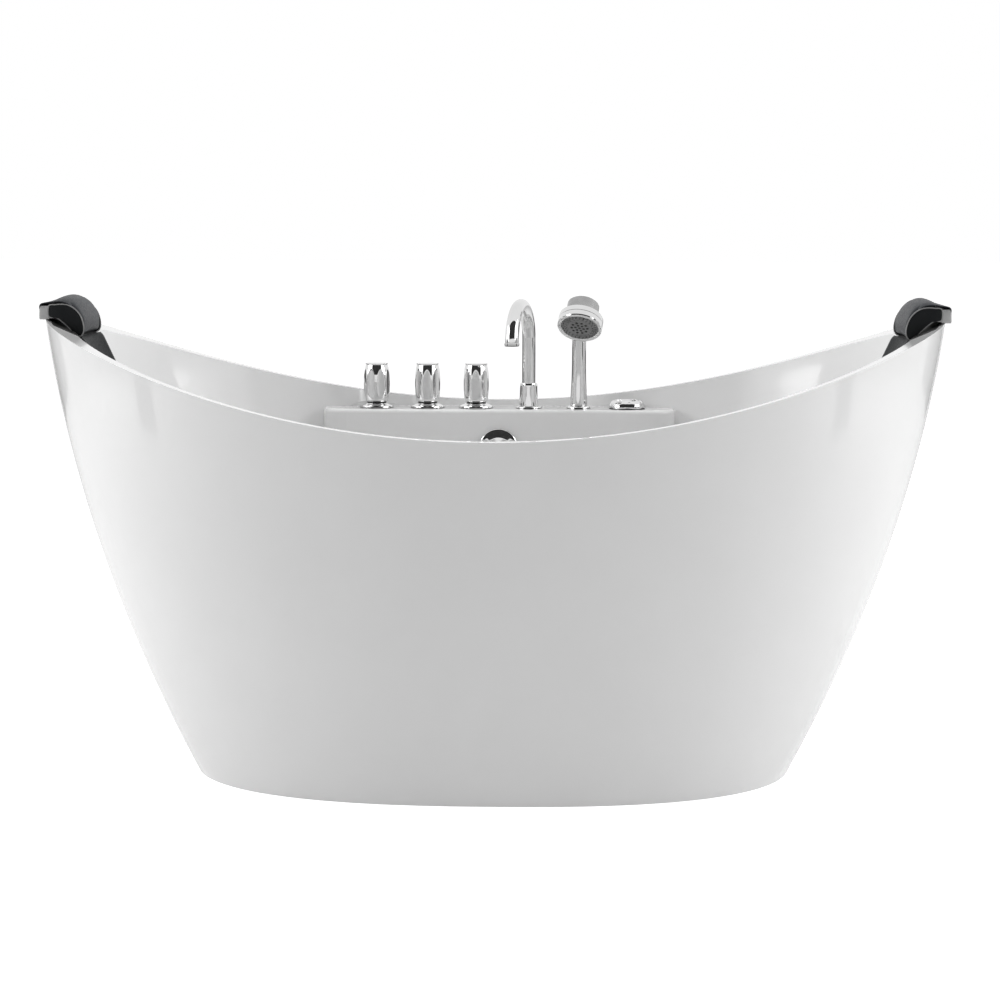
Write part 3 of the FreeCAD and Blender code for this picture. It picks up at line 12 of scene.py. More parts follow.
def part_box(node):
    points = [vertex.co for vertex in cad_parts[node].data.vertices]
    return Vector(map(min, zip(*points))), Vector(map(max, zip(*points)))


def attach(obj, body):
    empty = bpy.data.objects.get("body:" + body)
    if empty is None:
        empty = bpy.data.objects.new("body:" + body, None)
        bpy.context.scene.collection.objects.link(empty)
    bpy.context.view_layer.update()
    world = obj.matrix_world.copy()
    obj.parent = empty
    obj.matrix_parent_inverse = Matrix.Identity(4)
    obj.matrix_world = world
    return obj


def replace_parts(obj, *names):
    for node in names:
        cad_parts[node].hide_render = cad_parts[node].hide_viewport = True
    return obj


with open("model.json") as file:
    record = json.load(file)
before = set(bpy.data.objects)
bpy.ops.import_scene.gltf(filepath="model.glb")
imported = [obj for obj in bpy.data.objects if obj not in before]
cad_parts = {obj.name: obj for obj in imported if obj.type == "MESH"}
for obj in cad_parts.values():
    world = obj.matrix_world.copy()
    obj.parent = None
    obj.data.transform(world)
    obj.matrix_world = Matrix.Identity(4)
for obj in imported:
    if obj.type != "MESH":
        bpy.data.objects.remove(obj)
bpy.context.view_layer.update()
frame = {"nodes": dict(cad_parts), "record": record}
MM = 0.001

# ---------------------------------------------------------------- materials


def rgba(value):
    """A grey level or a colour as a socket value."""
    if isinstance(value, (int, float)):
        value = (value, value, value)
    return (*value, 1.0)


def new_material(name, rough, metallic=0.0, **sockets):
    """A principled material with its plain values on the shader's own sockets."""
    mat = bpy.data.materials.new(name)
    mat.use_nodes = True
    shader = mat.node_tree.nodes["Principled BSDF"]
    shader.inputs["Metallic"].default_value = metallic
    shader.inputs["Roughness"].default_value = rough
    for socket, value in sockets.items():
        shader.inputs[socket.replace("_", " ")].default_value = value
    return mat, mat.node_tree, shader


def add_node(tree, kind, **values):
    made = tree.nodes.new(kind)
    for name, value in values.items():
        if name in made.inputs:
            made.inputs[name].default_value = value
        else:
            setattr(made, name, value)
    return made


def place_noise(tree, scale, detail=3.0, rough=0.5, stretch=None):
    """Noise in the object's own space, with features about 1 / scale metres wide."""
    coords = add_node(tree, "ShaderNodeTexCoord")
    source = coords.outputs["Object"]
    if stretch:
        mapping = add_node(tree, "ShaderNodeMapping", Scale=stretch)
        tree.links.new(source, mapping.inputs["Vector"])
        source = mapping.outputs["Vector"]
    noise = add_node(tree, "ShaderNodeTexNoise", Scale=scale, Detail=detail, Roughness=rough)
    tree.links.new(source, noise.inputs["Vector"])
    return noise.outputs["Fac"]


def ranged(tree, source, low, high, start=0.3, end=0.7):
    made = add_node(tree, "ShaderNodeMapRange")
    made.inputs["From Min"].default_value = start
    made.inputs["From Max"].default_value = end
    made.inputs["To Min"].default_value = low
    made.inputs["To Max"].default_value = high
    tree.links.new(source, made.inputs["Value"])
    return made.outputs["Result"]


def two_tone(tree, shader, source, dark, light, start=0.3, end=0.7):
    ramp = add_node(tree, "ShaderNodeValToRGB")
    ramp.color_ramp.elements[0].position = start
    ramp.color_ramp.elements[0].color = rgba(dark)
    ramp.color_ramp.elements[1].position = end
    ramp.color_ramp.elements[1].color = rgba(light)
    tree.links.new(source, ramp.inputs["Fac"])
    tree.links.new(ramp.outputs["Color"], shader.inputs["Base Color"])


def bumped(tree, shader, source, distance, strength=1.0, after=None):
    made = add_node(tree, "ShaderNodeBump", Strength=strength, Distance=distance)
    tree.links.new(source, made.inputs["Height"])
    if after:
        tree.links.new(after, made.inputs["Normal"])
    tree.links.new(made.outputs["Normal"], shader.inputs["Normal"])
    return made.outputs["Normal"]


def surface(name, dark, light, rough, spread=0.04, metallic=0.0, tone_scale=18.0, grain_scale=900.0,
            grain=0.00002, stretch=None, **sockets):
    """A surface with slow colour change, uneven polish and a fine grain."""
    mat, tree, shader = new_material(name, rough, metallic, **sockets)
    tone = place_noise(tree, tone_scale, 4.0, 0.55)
    two_tone(tree, shader, tone, dark, light)
    polish = place_noise(tree, tone_scale * 3.1, 5.0, 0.6, stretch)
    tree.links.new(ranged(tree, polish, rough - spread / 2, rough + spread / 2), shader.inputs["Roughness"])
    if grain:
        bumped(tree, shader, place_noise(tree, grain_scale, 2.0, 0.5, stretch), grain)
    return mat


def leather(name, dark, light, rough, pore_scale=900.0, depth=0.00025, shine=0.3):
    """Skinned polyurethane with a fine pebbled grain."""
    mat, tree, shader = new_material(name, rough, Specular_IOR_Level=shine)
    coords = add_node(tree, "ShaderNodeTexCoord")
    tone = place_noise(tree, 30.0, 4.0, 0.6)
    two_tone(tree, shader, tone, dark, light)
    cells = add_node(tree, "ShaderNodeTexVoronoi", Scale=pore_scale, feature="F1", Randomness=0.9)
    tree.links.new(coords.outputs["Object"], cells.inputs["Vector"])
    pebble = bumped(tree, shader, cells.outputs["Distance"], depth, 0.55)
    bumped(tree, shader, place_noise(tree, 160.0, 4.0, 0.6), 0.0004, 0.35, pebble)
    polish = place_noise(tree, 260.0, 3.0, 0.6)
    tree.links.new(ranged(tree, polish, rough - 0.07, rough + 0.09), shader.inputs["Roughness"])
    return mat


def plywood(name):
    mat, tree, shader = new_material(name, 0.6)
    grain = place_noise(tree, 60.0, 6.0, 0.6, (1.0, 14.0, 14.0))
    two_tone(tree, shader, grain, (0.34, 0.23, 0.12), (0.62, 0.46, 0.28))
    bumped(tree, shader, grain, 0.0003, 0.5)
    return mat


MATERIALS = {
    "acrylic": surface("acrylic", 0.795, 0.815, 0.13, 0.03, tone_scale=6.0, grain_scale=260.0,
                       grain=0.00001, Coat_Weight=0.35, Coat_Roughness=0.04, Specular_IOR_Level=0.45),
    "chrome": surface("chrome", 0.70, 0.76, 0.045, 0.03, 1.0, tone_scale=22.0, grain_scale=1200.0,
                      grain=0.000004),
    "brass": surface("brass", (0.52, 0.36, 0.15), (0.68, 0.50, 0.24), 0.32, 0.12, 1.0, 40.0),
    "pipework": surface("pipework", (0.60, 0.30, 0.17), (0.76, 0.43, 0.27), 0.3, 0.15, 1.0, 40.0),
    "zinc_steel": surface("zinc_steel", 0.42, 0.58, 0.36, 0.14, 1.0, 60.0),
    "frame_paint": surface("frame_paint", 0.045, 0.065, 0.42, 0.1, 0.0, 30.0, 700.0, 0.00008),
    "white_pipe": surface("white_pipe", 0.66, 0.73, 0.38, 0.1, 0.0, 20.0, 500.0, 0.00004),
    "board": plywood("board"),
    "clear_hose": surface("clear_hose", 0.52, 0.6, 0.28, 0.08, 0.0, 25.0, 500.0, 0.00003),
    "nozzle_grey": surface("nozzle_grey", 0.18, 0.24, 0.42, 0.08, 0.0, 90.0, 900.0, 0.00003),
    "pump_black": surface("pump_black", 0.018, 0.03, 0.46, 0.1, 0.0, 40.0, 600.0, 0.0001),
    "motor_paint": surface("motor_paint", (0.028, 0.036, 0.045), (0.04, 0.05, 0.062), 0.4, 0.1, 0.0, 30.0,
                           500.0, 0.00008),
    "nozzle_white": surface("nozzle_white", 0.74, 0.79, 0.2, 0.05, 0.0, 30.0, 500.0, 0.00002),
    "cushion": leather("cushion", (0.020, 0.022, 0.025), (0.034, 0.037, 0.042), 0.45, shine=0.24),
    "pad": leather("pad", (0.010, 0.011, 0.012), (0.016, 0.017, 0.018), 0.5, 1300.0, 0.0001, 0.09),
    "cap_silver": surface("cap_silver", 0.34, 0.41, 0.36, 0.08, 0.25, 50.0, 800.0, 0.00003),
    "piping": surface("piping", 0.2, 0.27, 0.36, 0.1, 0.0, 90.0, 900.0, 0.00005),
    "nozzle_dark": surface("nozzle_dark", 0.05, 0.08, 0.4, 0.1, 0.0, 90.0, 900.0, 0.00003),
    # black_gloss also colours the painted shade rings at the fittings' feet and in the gaps under the knobs.
    "black_gloss": surface("black_gloss", 0.008, 0.014, 0.14, 0.06, 0.0, 60.0, 700.0, 0.00001),
    "brushed_chrome": surface("brushed_chrome", 0.33, 0.42, 0.27, 0.06, 1.0, 40.0, 1500.0, 0.00001,
                              (1.0, 1.0, 12.0)),
    "bracket_dark": surface("bracket_dark", 0.016, 0.026, 0.33, 0.1, 0.0, 60.0, 700.0, 0.00004),
    # dark_hole: near-black, painted shade for the insides of holes.
    "dark_hole": surface("dark_hole", 0.006, 0.012, 0.6, 0.1, 0.0, 90.0),
}
SLOTS = {part["node"]: part["material_slot"] for part in frame["record"]["subparts"]}
for name, obj in frame["nodes"].items():
    for slot in obj.material_slots:
        slot.material = MATERIALS[SLOTS[name]]


# ---------------------------------------------------------------- mesh helpers


def smooth_by_angle(obj, degrees=32.0):
    """Smooth shading with sharp edges where faces meet steeply."""
    for face in obj.data.polygons:
        face.use_smooth = True
    obj.data.set_sharp_from_angle(angle=math.radians(degrees))


def mesh_object(name, bm, material, body, degrees=32.0):
    """Turns a bmesh in metres into a piece that rides on a body."""
    bmesh.ops.recalc_face_normals(bm, faces=bm.faces)
    data = bpy.data.meshes.new(name)
    bm.to_mesh(data)
    bm.free()
    data.materials.append(MATERIALS[material])
    obj = bpy.data.objects.new(name, data)
    bpy.context.scene.collection.objects.link(obj)
    smooth_by_angle(obj, degrees)
    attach(obj, body)
    return obj


def add_grid(bm, rows, closed_around=True, cap_start=True, cap_end=True):
    """Faces between rows of points; each row may close on itself, and end rows may be capped."""
    made = [[bm.verts.new(point) for point in row] for row in rows]
    count = len(rows[0])
    last = count if closed_around else count - 1
    for i in range(len(made) - 1):
        for k in range(last):
            quad = (made[i][k], made[i][(k + 1) % count], made[i + 1][(k + 1) % count], made[i + 1][k])
            bm.faces.new(quad)
    if cap_start:
        bm.faces.new(made[0])
    if cap_end:
        bm.faces.new(made[-1])
    return made


def turned_rows(profile, segments, shape=None):
    """Rows of points round +Z for (radius, height) pairs in millimetres."""
    rows = []
    for radius, height in profile:
        row = []
        for k in range(segments):
            turn = 2 * math.pi * k / segments
            reach = shape(radius, height, turn) if shape else radius
            row.append(Vector((reach * math.cos(turn), reach * math.sin(turn), height)) * MM)
        rows.append(row)
    return rows


def upright(way):
    """The rotation that turns +Z to a direction."""
    return Vector((0, 0, 1)).rotation_difference(Vector(way)).to_matrix().to_4x4()


def turned(bm, profile, at=(0, 0, 0), way=(0, 0, 1), segments=96, shape=None, closed=False):
    """Adds a turned form at a point in metres; a closed profile makes a ring."""
    place = Matrix.Translation(Vector(at)) @ upright(way)
    if closed:
        profile = list(profile) + [profile[0]]
    rows = [[place @ point for point in row] for row in turned_rows(profile, segments, shape)]
    made = add_grid(bm, rows, True, not closed, not closed)
    bmesh.ops.remove_doubles(bm, verts=[vert for row in made for vert in row], dist=1e-7)


def smooth_path(points, steps=8, closed=False):
    """A Catmull-Rom curve through the points."""
    count = len(points)
    spans = count if closed else count - 1
    made = []
    for i in range(spans):
        if closed:
            p0, p1, p2, p3 = (points[(i + k) % count] for k in (-1, 0, 1, 2))
        else:
            p0, p1, p2, p3 = (points[min(max(i + k, 0), count - 1)] for k in (-1, 0, 1, 2))
        for k in range(steps):
            t = k / steps
            made.append(0.5 * ((2 * p1) + (p2 - p0) * t + (2 * p0 - 5 * p1 + 4 * p2 - p3) * t * t
                               + (3 * p1 - p0 - 3 * p2 + p3) * t ** 3))
    if not closed:
        made.append(points[-1].copy())
    return made


def swept(bm, path, radius, segments=16, closed=False):
    """A round rod along a path in metres, with its radius in millimetres."""
    count = len(path)
    side = None
    rows = []
    for i, point in enumerate(path):
        if closed:
            along = (path[(i + 1) % count] - path[i - 1]).normalized()
        else:
            along = (path[min(i + 1, count - 1)] - path[max(i - 1, 0)]).normalized()
        if side is None:
            side = along.orthogonal().normalized()
        side = (side - along * side.dot(along)).normalized()
        other = along.cross(side)
        rows.append([point + (side * math.cos(a) + other * math.sin(a)) * radius * MM
                     for a in (2 * math.pi * k / segments for k in range(segments))])
    if closed:
        add_grid(bm, rows + [rows[0]], True, False, False)
        bmesh.ops.remove_doubles(bm, verts=bm.verts, dist=1e-7)
    else:
        add_grid(bm, rows)


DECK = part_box("valve_escutcheons")[0][2]


def on_deck(node):
    """The foot of a fitting that stands on the tap deck."""
    low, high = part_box(node)
    return Vector(((low[0] + high[0]) / 2, (low[1] + high[1]) / 2, DECK))


# ---------------------------------------------------------------- camera, floor and light


def aim(obj, target):
    way = Vector(target) - obj.location
    obj.rotation_euler = way.to_track_quat("-Z", "Y").to_euler()


CAMERA = {"x": 115.3, "back": 4050.0, "height": 962.3, "yaw": -1.485, "pitch": 7.268, "roll": 0.174,
          "focal": 2410.5}
FRAME_PIXELS = 1000.0
SENSOR = 36.0


def add_camera():
    data = bpy.data.cameras.new("camera")
    data.sensor_width = SENSOR
    data.lens = CAMERA["focal"] * SENSOR / FRAME_PIXELS
    data.clip_end = 100.0
    obj = bpy.data.objects.new("camera", data)
    bpy.context.scene.collection.objects.link(obj)
    yaw = math.radians(CAMERA["yaw"])
    pitch = math.radians(CAMERA["pitch"])
    roll = math.radians(CAMERA["roll"])
    way = Vector((math.sin(yaw) * math.cos(pitch), math.cos(yaw) * math.cos(pitch), -math.sin(pitch)))
    right = Vector((math.cos(yaw), -math.sin(yaw), 0.0))
    up = right.cross(way)
    side = right * math.cos(roll) + up * math.sin(roll)
    top = up * math.cos(roll) - right * math.sin(roll)
    place = Matrix((side, top, -way)).transposed().to_4x4()
    place.translation = Vector((CAMERA["x"], -CAMERA["back"], CAMERA["height"])) * MM
    obj.matrix_world = place
    bpy.context.scene.camera = obj


FLOOR_SIZE = 30.0
FLOOR_GLOW = 0.8
MIRRORED_GLOW = 0.4


def add_floor():
    """The white floor, brighter for the camera than for the light that it throws back."""
    bm = bmesh.new()
    bmesh.ops.create_grid(bm, x_segments=2, y_segments=2, size=FLOOR_SIZE)
    data = bpy.data.meshes.new("floor")
    bm.to_mesh(data)
    bm.free()
    obj = bpy.data.objects.new("floor", data)
    bpy.context.scene.collection.objects.link(obj)
    mat, tree, shader = new_material("floor_white", 0.9)
    two_tone(tree, shader, place_noise(tree, 3.0), 0.78, 0.8)
    glow = add_node(tree, "ShaderNodeEmission", Strength=FLOOR_GLOW)
    glow.inputs["Color"].default_value = rgba(1.0)
    both = add_node(tree, "ShaderNodeAddShader")
    output = tree.nodes["Material Output"]
    path = add_node(tree, "ShaderNodeLightPath")
    seen = add_node(tree, "ShaderNodeMath", operation="MAXIMUM")
    pick = add_node(tree, "ShaderNodeMixShader")
    part = add_node(tree, "ShaderNodeMath", operation="MULTIPLY")
    part.inputs[1].default_value = MIRRORED_GLOW
    tree.links.new(path.outputs["Is Glossy Ray"], part.inputs[0])
    tree.links.new(path.outputs["Is Camera Ray"], seen.inputs[0])
    tree.links.new(part.outputs["Value"], seen.inputs[1])
    tree.links.new(shader.outputs["BSDF"], both.inputs[0])
    tree.links.new(glow.outputs["Emission"], both.inputs[1])
    tree.links.new(seen.outputs["Value"], pick.inputs["Fac"])
    tree.links.new(shader.outputs["BSDF"], pick.inputs[1])
    tree.links.new(both.outputs["Shader"], pick.inputs[2])
    tree.links.new(pick.outputs["Shader"], output.inputs["Surface"])
    data.materials.append(mat)


WORLD_LIGHT = 0.262


def add_world():
    """A white surround that lights the part softly and looks pure white."""
    world = bpy.data.worlds.new("studio")
    bpy.context.scene.world = world
    world.use_nodes = True
    tree = world.node_tree
    tree.nodes.clear()
    output = add_node(tree, "ShaderNodeOutputWorld")
    path = add_node(tree, "ShaderNodeLightPath")
    seen = add_node(tree, "ShaderNodeMath", operation="MAXIMUM")
    seen_too = add_node(tree, "ShaderNodeMath", operation="MAXIMUM")
    pick = add_node(tree, "ShaderNodeMixShader")
    light = add_node(tree, "ShaderNodeBackground", Strength=WORLD_LIGHT)
    light.inputs["Color"].default_value = rgba(1.0)
    white = add_node(tree, "ShaderNodeBackground", Strength=1.0)
    white.inputs["Color"].default_value = rgba(1.0)
    tree.links.new(path.outputs["Is Camera Ray"], seen.inputs[0])
    tree.links.new(path.outputs["Is Glossy Ray"], seen.inputs[1])
    tree.links.new(seen.outputs["Value"], seen_too.inputs[0])
    tree.links.new(path.outputs["Is Transmission Ray"], seen_too.inputs[1])
    tree.links.new(seen_too.outputs["Value"], pick.inputs["Fac"])
    tree.links.new(light.outputs["Background"], pick.inputs[1])
    tree.links.new(white.outputs["Background"], pick.inputs[2])
    tree.links.new(pick.outputs["Shader"], output.inputs["Surface"])


LAMPS = (
    ("left_softbox", (-3.6, -0.9, 1.5), (0.0, 0.0, 0.35), 2.4, 2.4, 80.0),
    ("right_softbox", (3.6, -0.9, 1.5), (0.0, 0.0, 0.35), 2.4, 2.4, 80.0),
    ("top_softbox", (0.0, 0.2, 3.4), (0.0, 0.1, 0.4), 3.0, 2.4, 50.0),
)
CARDS = (
    ("card_front_top", (0.0, -3.3, 2.9), (0.0, 0.2, 0.65), 8.0, 3.9, 0.03),
    ("card_left", (-2.7, -1.05, 0.5), (0.0, 0.2, 0.6), 0.3, 1.7, 0.02),
    ("card_right", (2.7, -1.05, 0.5), (0.0, 0.2, 0.6), 0.3, 1.7, 0.02),
    ("card_back_left", (-2.5, 2.15, 0.31), (0.0, 0.2, 0.31), 1.5, 0.36, 0.02),
    ("card_back_right", (2.5, 2.15, 0.31), (0.0, 0.2, 0.31), 1.5, 0.36, 0.02),
)


def add_lights():
    for name, at, target, wide, tall, power in LAMPS:
        data = bpy.data.lights.new(name, "AREA")
        data.shape = "RECTANGLE"
        data.size = wide
        data.size_y = tall
        data.energy = power
        obj = bpy.data.objects.new(name, data)
        obj.location = at
        obj.visible_glossy = name != "top_softbox"
        bpy.context.scene.collection.objects.link(obj)
        aim(obj, target)


def add_cards():
    """Dark cards that only mirror-like surfaces see, as in a product studio."""
    for name, at, target, wide, tall, tone in CARDS:
        bm = bmesh.new()
        bmesh.ops.create_grid(bm, x_segments=1, y_segments=1, size=0.5)
        data = bpy.data.meshes.new(name)
        bm.to_mesh(data)
        bm.free()
        obj = bpy.data.objects.new(name, data)
        obj.location = at
        obj.scale = (wide, tall, 1.0)
        bpy.context.scene.collection.objects.link(obj)
        aim(obj, target)
        mat, tree, shader = new_material(name, 0.9)
        two_tone(tree, shader, place_noise(tree, 2.0), tone, tone * 1.2)
        data.materials.append(mat)
        obj.visible_camera = False
        obj.visible_diffuse = False
        obj.visible_shadow = False
        obj.visible_transmission = False


add_camera()
add_floor()
add_world()
add_lights()
add_cards()
bpy.context.scene.view_settings.view_transform = "Standard"

# ---------------------------------------------------------------- taps

KNOB_PROFILE = (
    (0.0, 0.0), (17.0, 0.0), (18.8, 0.3), (19.6, 1.2), (20.6, 4.0), (22.0, 9.0), (23.0, 15.0), (23.6, 22.0),
    (23.8, 29.0), (23.8, 36.0), (23.5, 43.0), (22.9, 50.0), (22.1, 56.0), (21.2, 61.0), (20.3, 65.0),
    (19.7, 66.9), (19.2, 67.2), (19.2, 67.8), (20.4, 68.1), (20.8, 68.6), (20.8, 69.4), (20.3, 69.9),
    (19.0, 70.0), (10.0, 70.0), (0.0, 70.0),
)
FLUTE = {"waist": 23.8, "bite": 2.3, "radius": 24.0, "count": 8, "top": 66.5, "core": 16.0}
ROSE_PROFILE = ((13.6, 0.0), (30.5, 0.0), (30.5, 2.6), (30.0, 3.6), (28.5, 4.5), (24.0, 5.9), (20.5, 7.1),
                (19.6, 8.0), (13.6, 8.0))
# A black ring in the gap between each rose and its knob: painted shade in that gap.
KNOB_GAP_SHADE_PROFILE = ((6.0, 7.6), (18.0, 7.6), (17.6, 9.2), (18.4, 11.2), (6.0, 11.2))


def fine_profile(profile, step=1.5):
    """The same profile with its long spans divided."""
    made = [profile[0]]
    for start, end in zip(profile, profile[1:]):
        spans = max(1, round(math.dist(start, end) / step))
        for k in range(1, spans + 1):
            t = k / spans
            made.append((start[0] + (end[0] - start[0]) * t, start[1] + (end[1] - start[1]) * t))
    return made


def fluted(turn_by):
    """A shape function that cuts upright hollows round a knob."""
    pitch = 2 * math.pi / FLUTE["count"]
    centre = FLUTE["waist"] - FLUTE["bite"] + FLUTE["radius"]

    def shape(radius, height, turn):
        if radius < FLUTE["core"] or height > FLUTE["top"]:
            return radius
        away = (turn + math.pi / 2 + turn_by + pitch / 2) % pitch - pitch / 2
        inside = FLUTE["radius"] ** 2 - (centre * math.sin(away)) ** 2
        if inside <= 0:
            return radius
        return min(radius, centre * math.cos(away) - math.sqrt(inside))

    return shape


def make_knobs():
    roses = bmesh.new()
    for name, body, turn_by in (("hot", "hot_tap", math.pi / 8), ("cold", "cold_tap", 0.0),
                                ("diverter", "diverter_tap", 0.0)):
        foot = on_deck(f"knob_{name}")
        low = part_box(f"knob_{name}")[0][2]
        bm = bmesh.new()
        turned(bm, fine_profile(KNOB_PROFILE), (foot.x, foot.y, low), segments=240, shape=fluted(turn_by))
        knob = mesh_object(f"{name}_knob", bm, "chrome", body, 24.0)
        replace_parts(knob, f"knob_{name}")
        turned(roses, ROSE_PROFILE, foot, closed=True)
        # The painted shade ring in the gap under the knob.
        bm = bmesh.new()
        turned(bm, KNOB_GAP_SHADE_PROFILE, foot, closed=True)
        mesh_object(f"{name}_gap_shade", bm, "black_gloss", "tub")
    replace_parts(mesh_object("valve_roses", roses, "chrome", "tub"), "valve_escutcheons")


# ---------------------------------------------------------------- spout

SPOUT = {"height": 201.0, "bend": 62.0, "tube": 12.25, "turn": -13.2, "drop": 1.5, "arc_steps": 40}
OUTLET_LOW = -5.6
OUTLET_PROFILE = ((10.2, 0.2), (12.9, 0.2), (13.4, -0.4), (13.4, OUTLET_LOW + 1.8), (12.9, OUTLET_LOW + 1.4),
                  (10.2, OUTLET_LOW + 1.4))
INSERT_PROFILE = (
    (0.0, OUTLET_LOW + 1.2), (9.6, OUTLET_LOW + 1.0), (10.4, OUTLET_LOW), (12.4, OUTLET_LOW),
    (12.9, OUTLET_LOW + 0.5), (12.9, OUTLET_LOW + 1.7), (0.0, OUTLET_LOW + 1.7),
)
SLEEVE_PROFILE = (
    (12.35, 46.0), (14.9, 46.0), (15.5, 45.6), (15.75, 45.0), (15.9, 40.0), (16.4, 25.0), (17.1, 12.0),
    (17.7, 7.0), (17.9, 5.0), (17.4, 4.2), (16.8, 3.6), (16.8, 3.0), (21.5, 2.8), (23.2, 2.2), (23.5, 1.4),
    (23.5, 0.0), (12.35, 0.0),
)


def make_spout():
    foot = on_deck("spout_base")
    bm = bmesh.new()
    turned(bm, SLEEVE_PROFILE, foot, closed=True)
    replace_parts(mesh_object("spout_sleeve", bm, "chrome", "tub", 25.0), "spout_base")
    turn = math.radians(SPOUT["turn"])
    reach = Vector((math.sin(turn), -math.cos(turn), 0.0))
    rise = SPOUT["height"] - SPOUT["tube"] - SPOUT["bend"]
    path = [foot + Vector((0, 0, height)) * MM for height in (9.0, 40.0, 80.0, rise)]
    for k in range(1, SPOUT["arc_steps"] + 1):
        a = math.pi * k / SPOUT["arc_steps"]
        path.append(foot + (Vector((0, 0, rise + SPOUT["bend"] * math.sin(a)))
                            + reach * SPOUT["bend"] * (1 - math.cos(a))) * MM)
    tip = path[-1] - Vector((0, 0, SPOUT["drop"])) * MM
    path.append(tip)
    bm = bmesh.new()
    swept(bm, path, SPOUT["tube"], 48)
    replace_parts(mesh_object("spout_neck", bm, "chrome", "spout"), "spout_tube")
    bm = bmesh.new()
    turned(bm, OUTLET_PROFILE, tip, closed=True, segments=64)
    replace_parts(mesh_object("spout_outlet", bm, "chrome", "spout"), "spout_aerator")
    bm = bmesh.new()
    turned(bm, INSERT_PROFILE, tip, segments=64)
    mesh_object("spout_strainer", bm, "black_gloss", "spout")


# ---------------------------------------------------------------- hand shower

HEAD = {"radius": 40.5, "ring": 13.0, "depth": 25.0, "crown_radius": 29.0, "crown": 29.0, "plate": 33.0,
        "inner": 20.5, "face": 3.5}
HOLE_RINGS = ((7.4, 6, 0.3), (14.2, 10, 0.1))
NOZZLE_RINGS = ((23.6, 20, 1.0), (26.6, 24, 1.0), (29.8, 28, 1.05))
GRIP_PROFILE = (
    (0.0, -15.0), (12.2, -15.0), (12.2, 5.3), (15.4, 5.4), (15.9, 6.4), (15.8, 10.0), (15.2, 20.0),
    (14.4, 34.0), (13.6, 52.0), (13.0, 76.0), (12.9, 100.0), (12.9, 125.0), (12.9, 150.0), (11.5, 157.0),
    (7.0, 162.0),
    (0.0, 164.0),
)
SOCKET_PROFILE = ((12.6, -12.0), (12.6, 5.0), (15.5, 5.0), (18.0, 4.7), (20.0, 3.6), (21.0, 2.0), (21.0, 0.0),
                  (14.5, 0.0), (14.5, -12.0))


def head_frame():
    """The middle of the hand shower's face and the way it faces, from its round plate."""
    plate = frame["nodes"]["spray_plate"].data
    corners = [vert.co.copy() for vert in plate.vertices]
    centre = sum(corners, Vector()) / len(corners)
    best = max(plate.polygons, key=lambda face: face.area)
    way = best.normal.copy()
    if way.y > 0:
        way = -way
    return centre, way.normalized()


def ring_places(count, radius, phase=0.0):
    """Places at equal angles round a circle."""
    turns = [2 * math.pi * k / count + phase for k in range(count)]
    return [(radius * math.cos(turn), radius * math.sin(turn)) for turn in turns]


def make_shower():
    foot = on_deck("shower_socket")
    bm = bmesh.new()
    turned(bm, SOCKET_PROFILE, foot, closed=True)
    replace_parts(mesh_object("shower_holder", bm, "chrome", "tub"), "shower_socket")

    plate_middle, way = head_frame()
    face = plate_middle + way * HEAD["face"] * MM
    side = way.cross(Vector((0, 0, 1))).normalized()
    up = side.cross(way)

    bm = bmesh.new()
    turned(bm, GRIP_PROFILE, foot, segments=64)
    grip = mesh_object("shower_grip", bm, "chrome", "hand_shower")
    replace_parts(grip, "hand_shower_body")
    bm = bmesh.new()
    drum = HEAD["depth"]
    end = drum + HEAD["crown"]
    wide = HEAD["crown_radius"]
    turned(bm, ((0.0, -end), (wide - 3.0, -end), (wide - 1.2, -end + 0.5), (wide, -end + 1.6),
                (wide, -drum - 0.6), (wide - 0.6, -drum), (wide - 0.6, -drum + 0.2), (0.0, -drum + 0.2)),
           face, way, 96)
    mesh_object("shower_crown", bm, "brushed_chrome", "hand_shower", 25.0)
    bm = bmesh.new()
    reach = HEAD["radius"]
    turned(bm, ((0.0, -drum), (reach - 4.0, -drum), (reach - 1.4, -drum + 0.5), (reach, -drum + 2.0),
                (reach, -HEAD["ring"] - 0.3), (0.0, -HEAD["ring"] - 0.3)), face, way, 96)
    mesh_object("shower_drum", bm, "chrome", "hand_shower", 25.0)
    bm = bmesh.new()
    edge = HEAD["plate"]
    turned(bm, ((edge, -6.0), (reach - 0.6, -HEAD["ring"]), (reach, -HEAD["ring"] + 0.6), (reach, -3.0),
                (reach - 0.9, -1.2), (reach - 2.6, -0.3), (reach - 5.0, 0.0), (edge + 1.0, -0.9),
                (edge, -2.2)), face, way, 96, closed=True)
    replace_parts(mesh_object("shower_ring", bm, "chrome", "spray_head", 25.0), "spray_selector")

    bm = bmesh.new()
    inner = HEAD["inner"]
    turned(bm, ((0.0, -6.0), (edge - 0.1, -6.0), (edge - 0.1, -2.4), (inner + 1.2, -2.0), (inner + 0.6, -1.4),
                (inner - 0.2, -1.4), (inner - 0.6, -1.9), (inner - 4.0, -1.5), (0.0, -1.2)), face, way, 96)
    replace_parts(mesh_object("shower_plate", bm, "nozzle_grey", "spray_head", 25.0), "spray_plate")
    holes = bmesh.new()
    nubs = bmesh.new()
    places = [(0.0, 0.0)]
    for radius, count, phase in HOLE_RINGS:
        places += ring_places(count, radius, phase)
    for across, high in places:
        at = face + (side * across + up * high) * MM
        turned(holes, ((0.0, -1.9), (2.4, -1.9), (2.4, -1.12), (2.0, -0.95), (0.0, -0.95)), at, way, 16)
    for radius, count, size in NOZZLE_RINGS:
        for across, high in ring_places(count, radius, radius):
            at = face + (side * across + up * high) * MM
            turned(nubs, ((0.0, -2.6), (size, -2.6), (size * 0.7, -1.0), (0.0, -0.8)), at, way, 10)
    # The spray holes are near-black discs on the plate: painted shade for the insides of the holes.
    mesh_object("shower_holes", holes, "dark_hole", "spray_head")
    mesh_object("shower_nozzles", nubs, "nozzle_dark", "spray_head")


# ---------------------------------------------------------------- air control and overflow


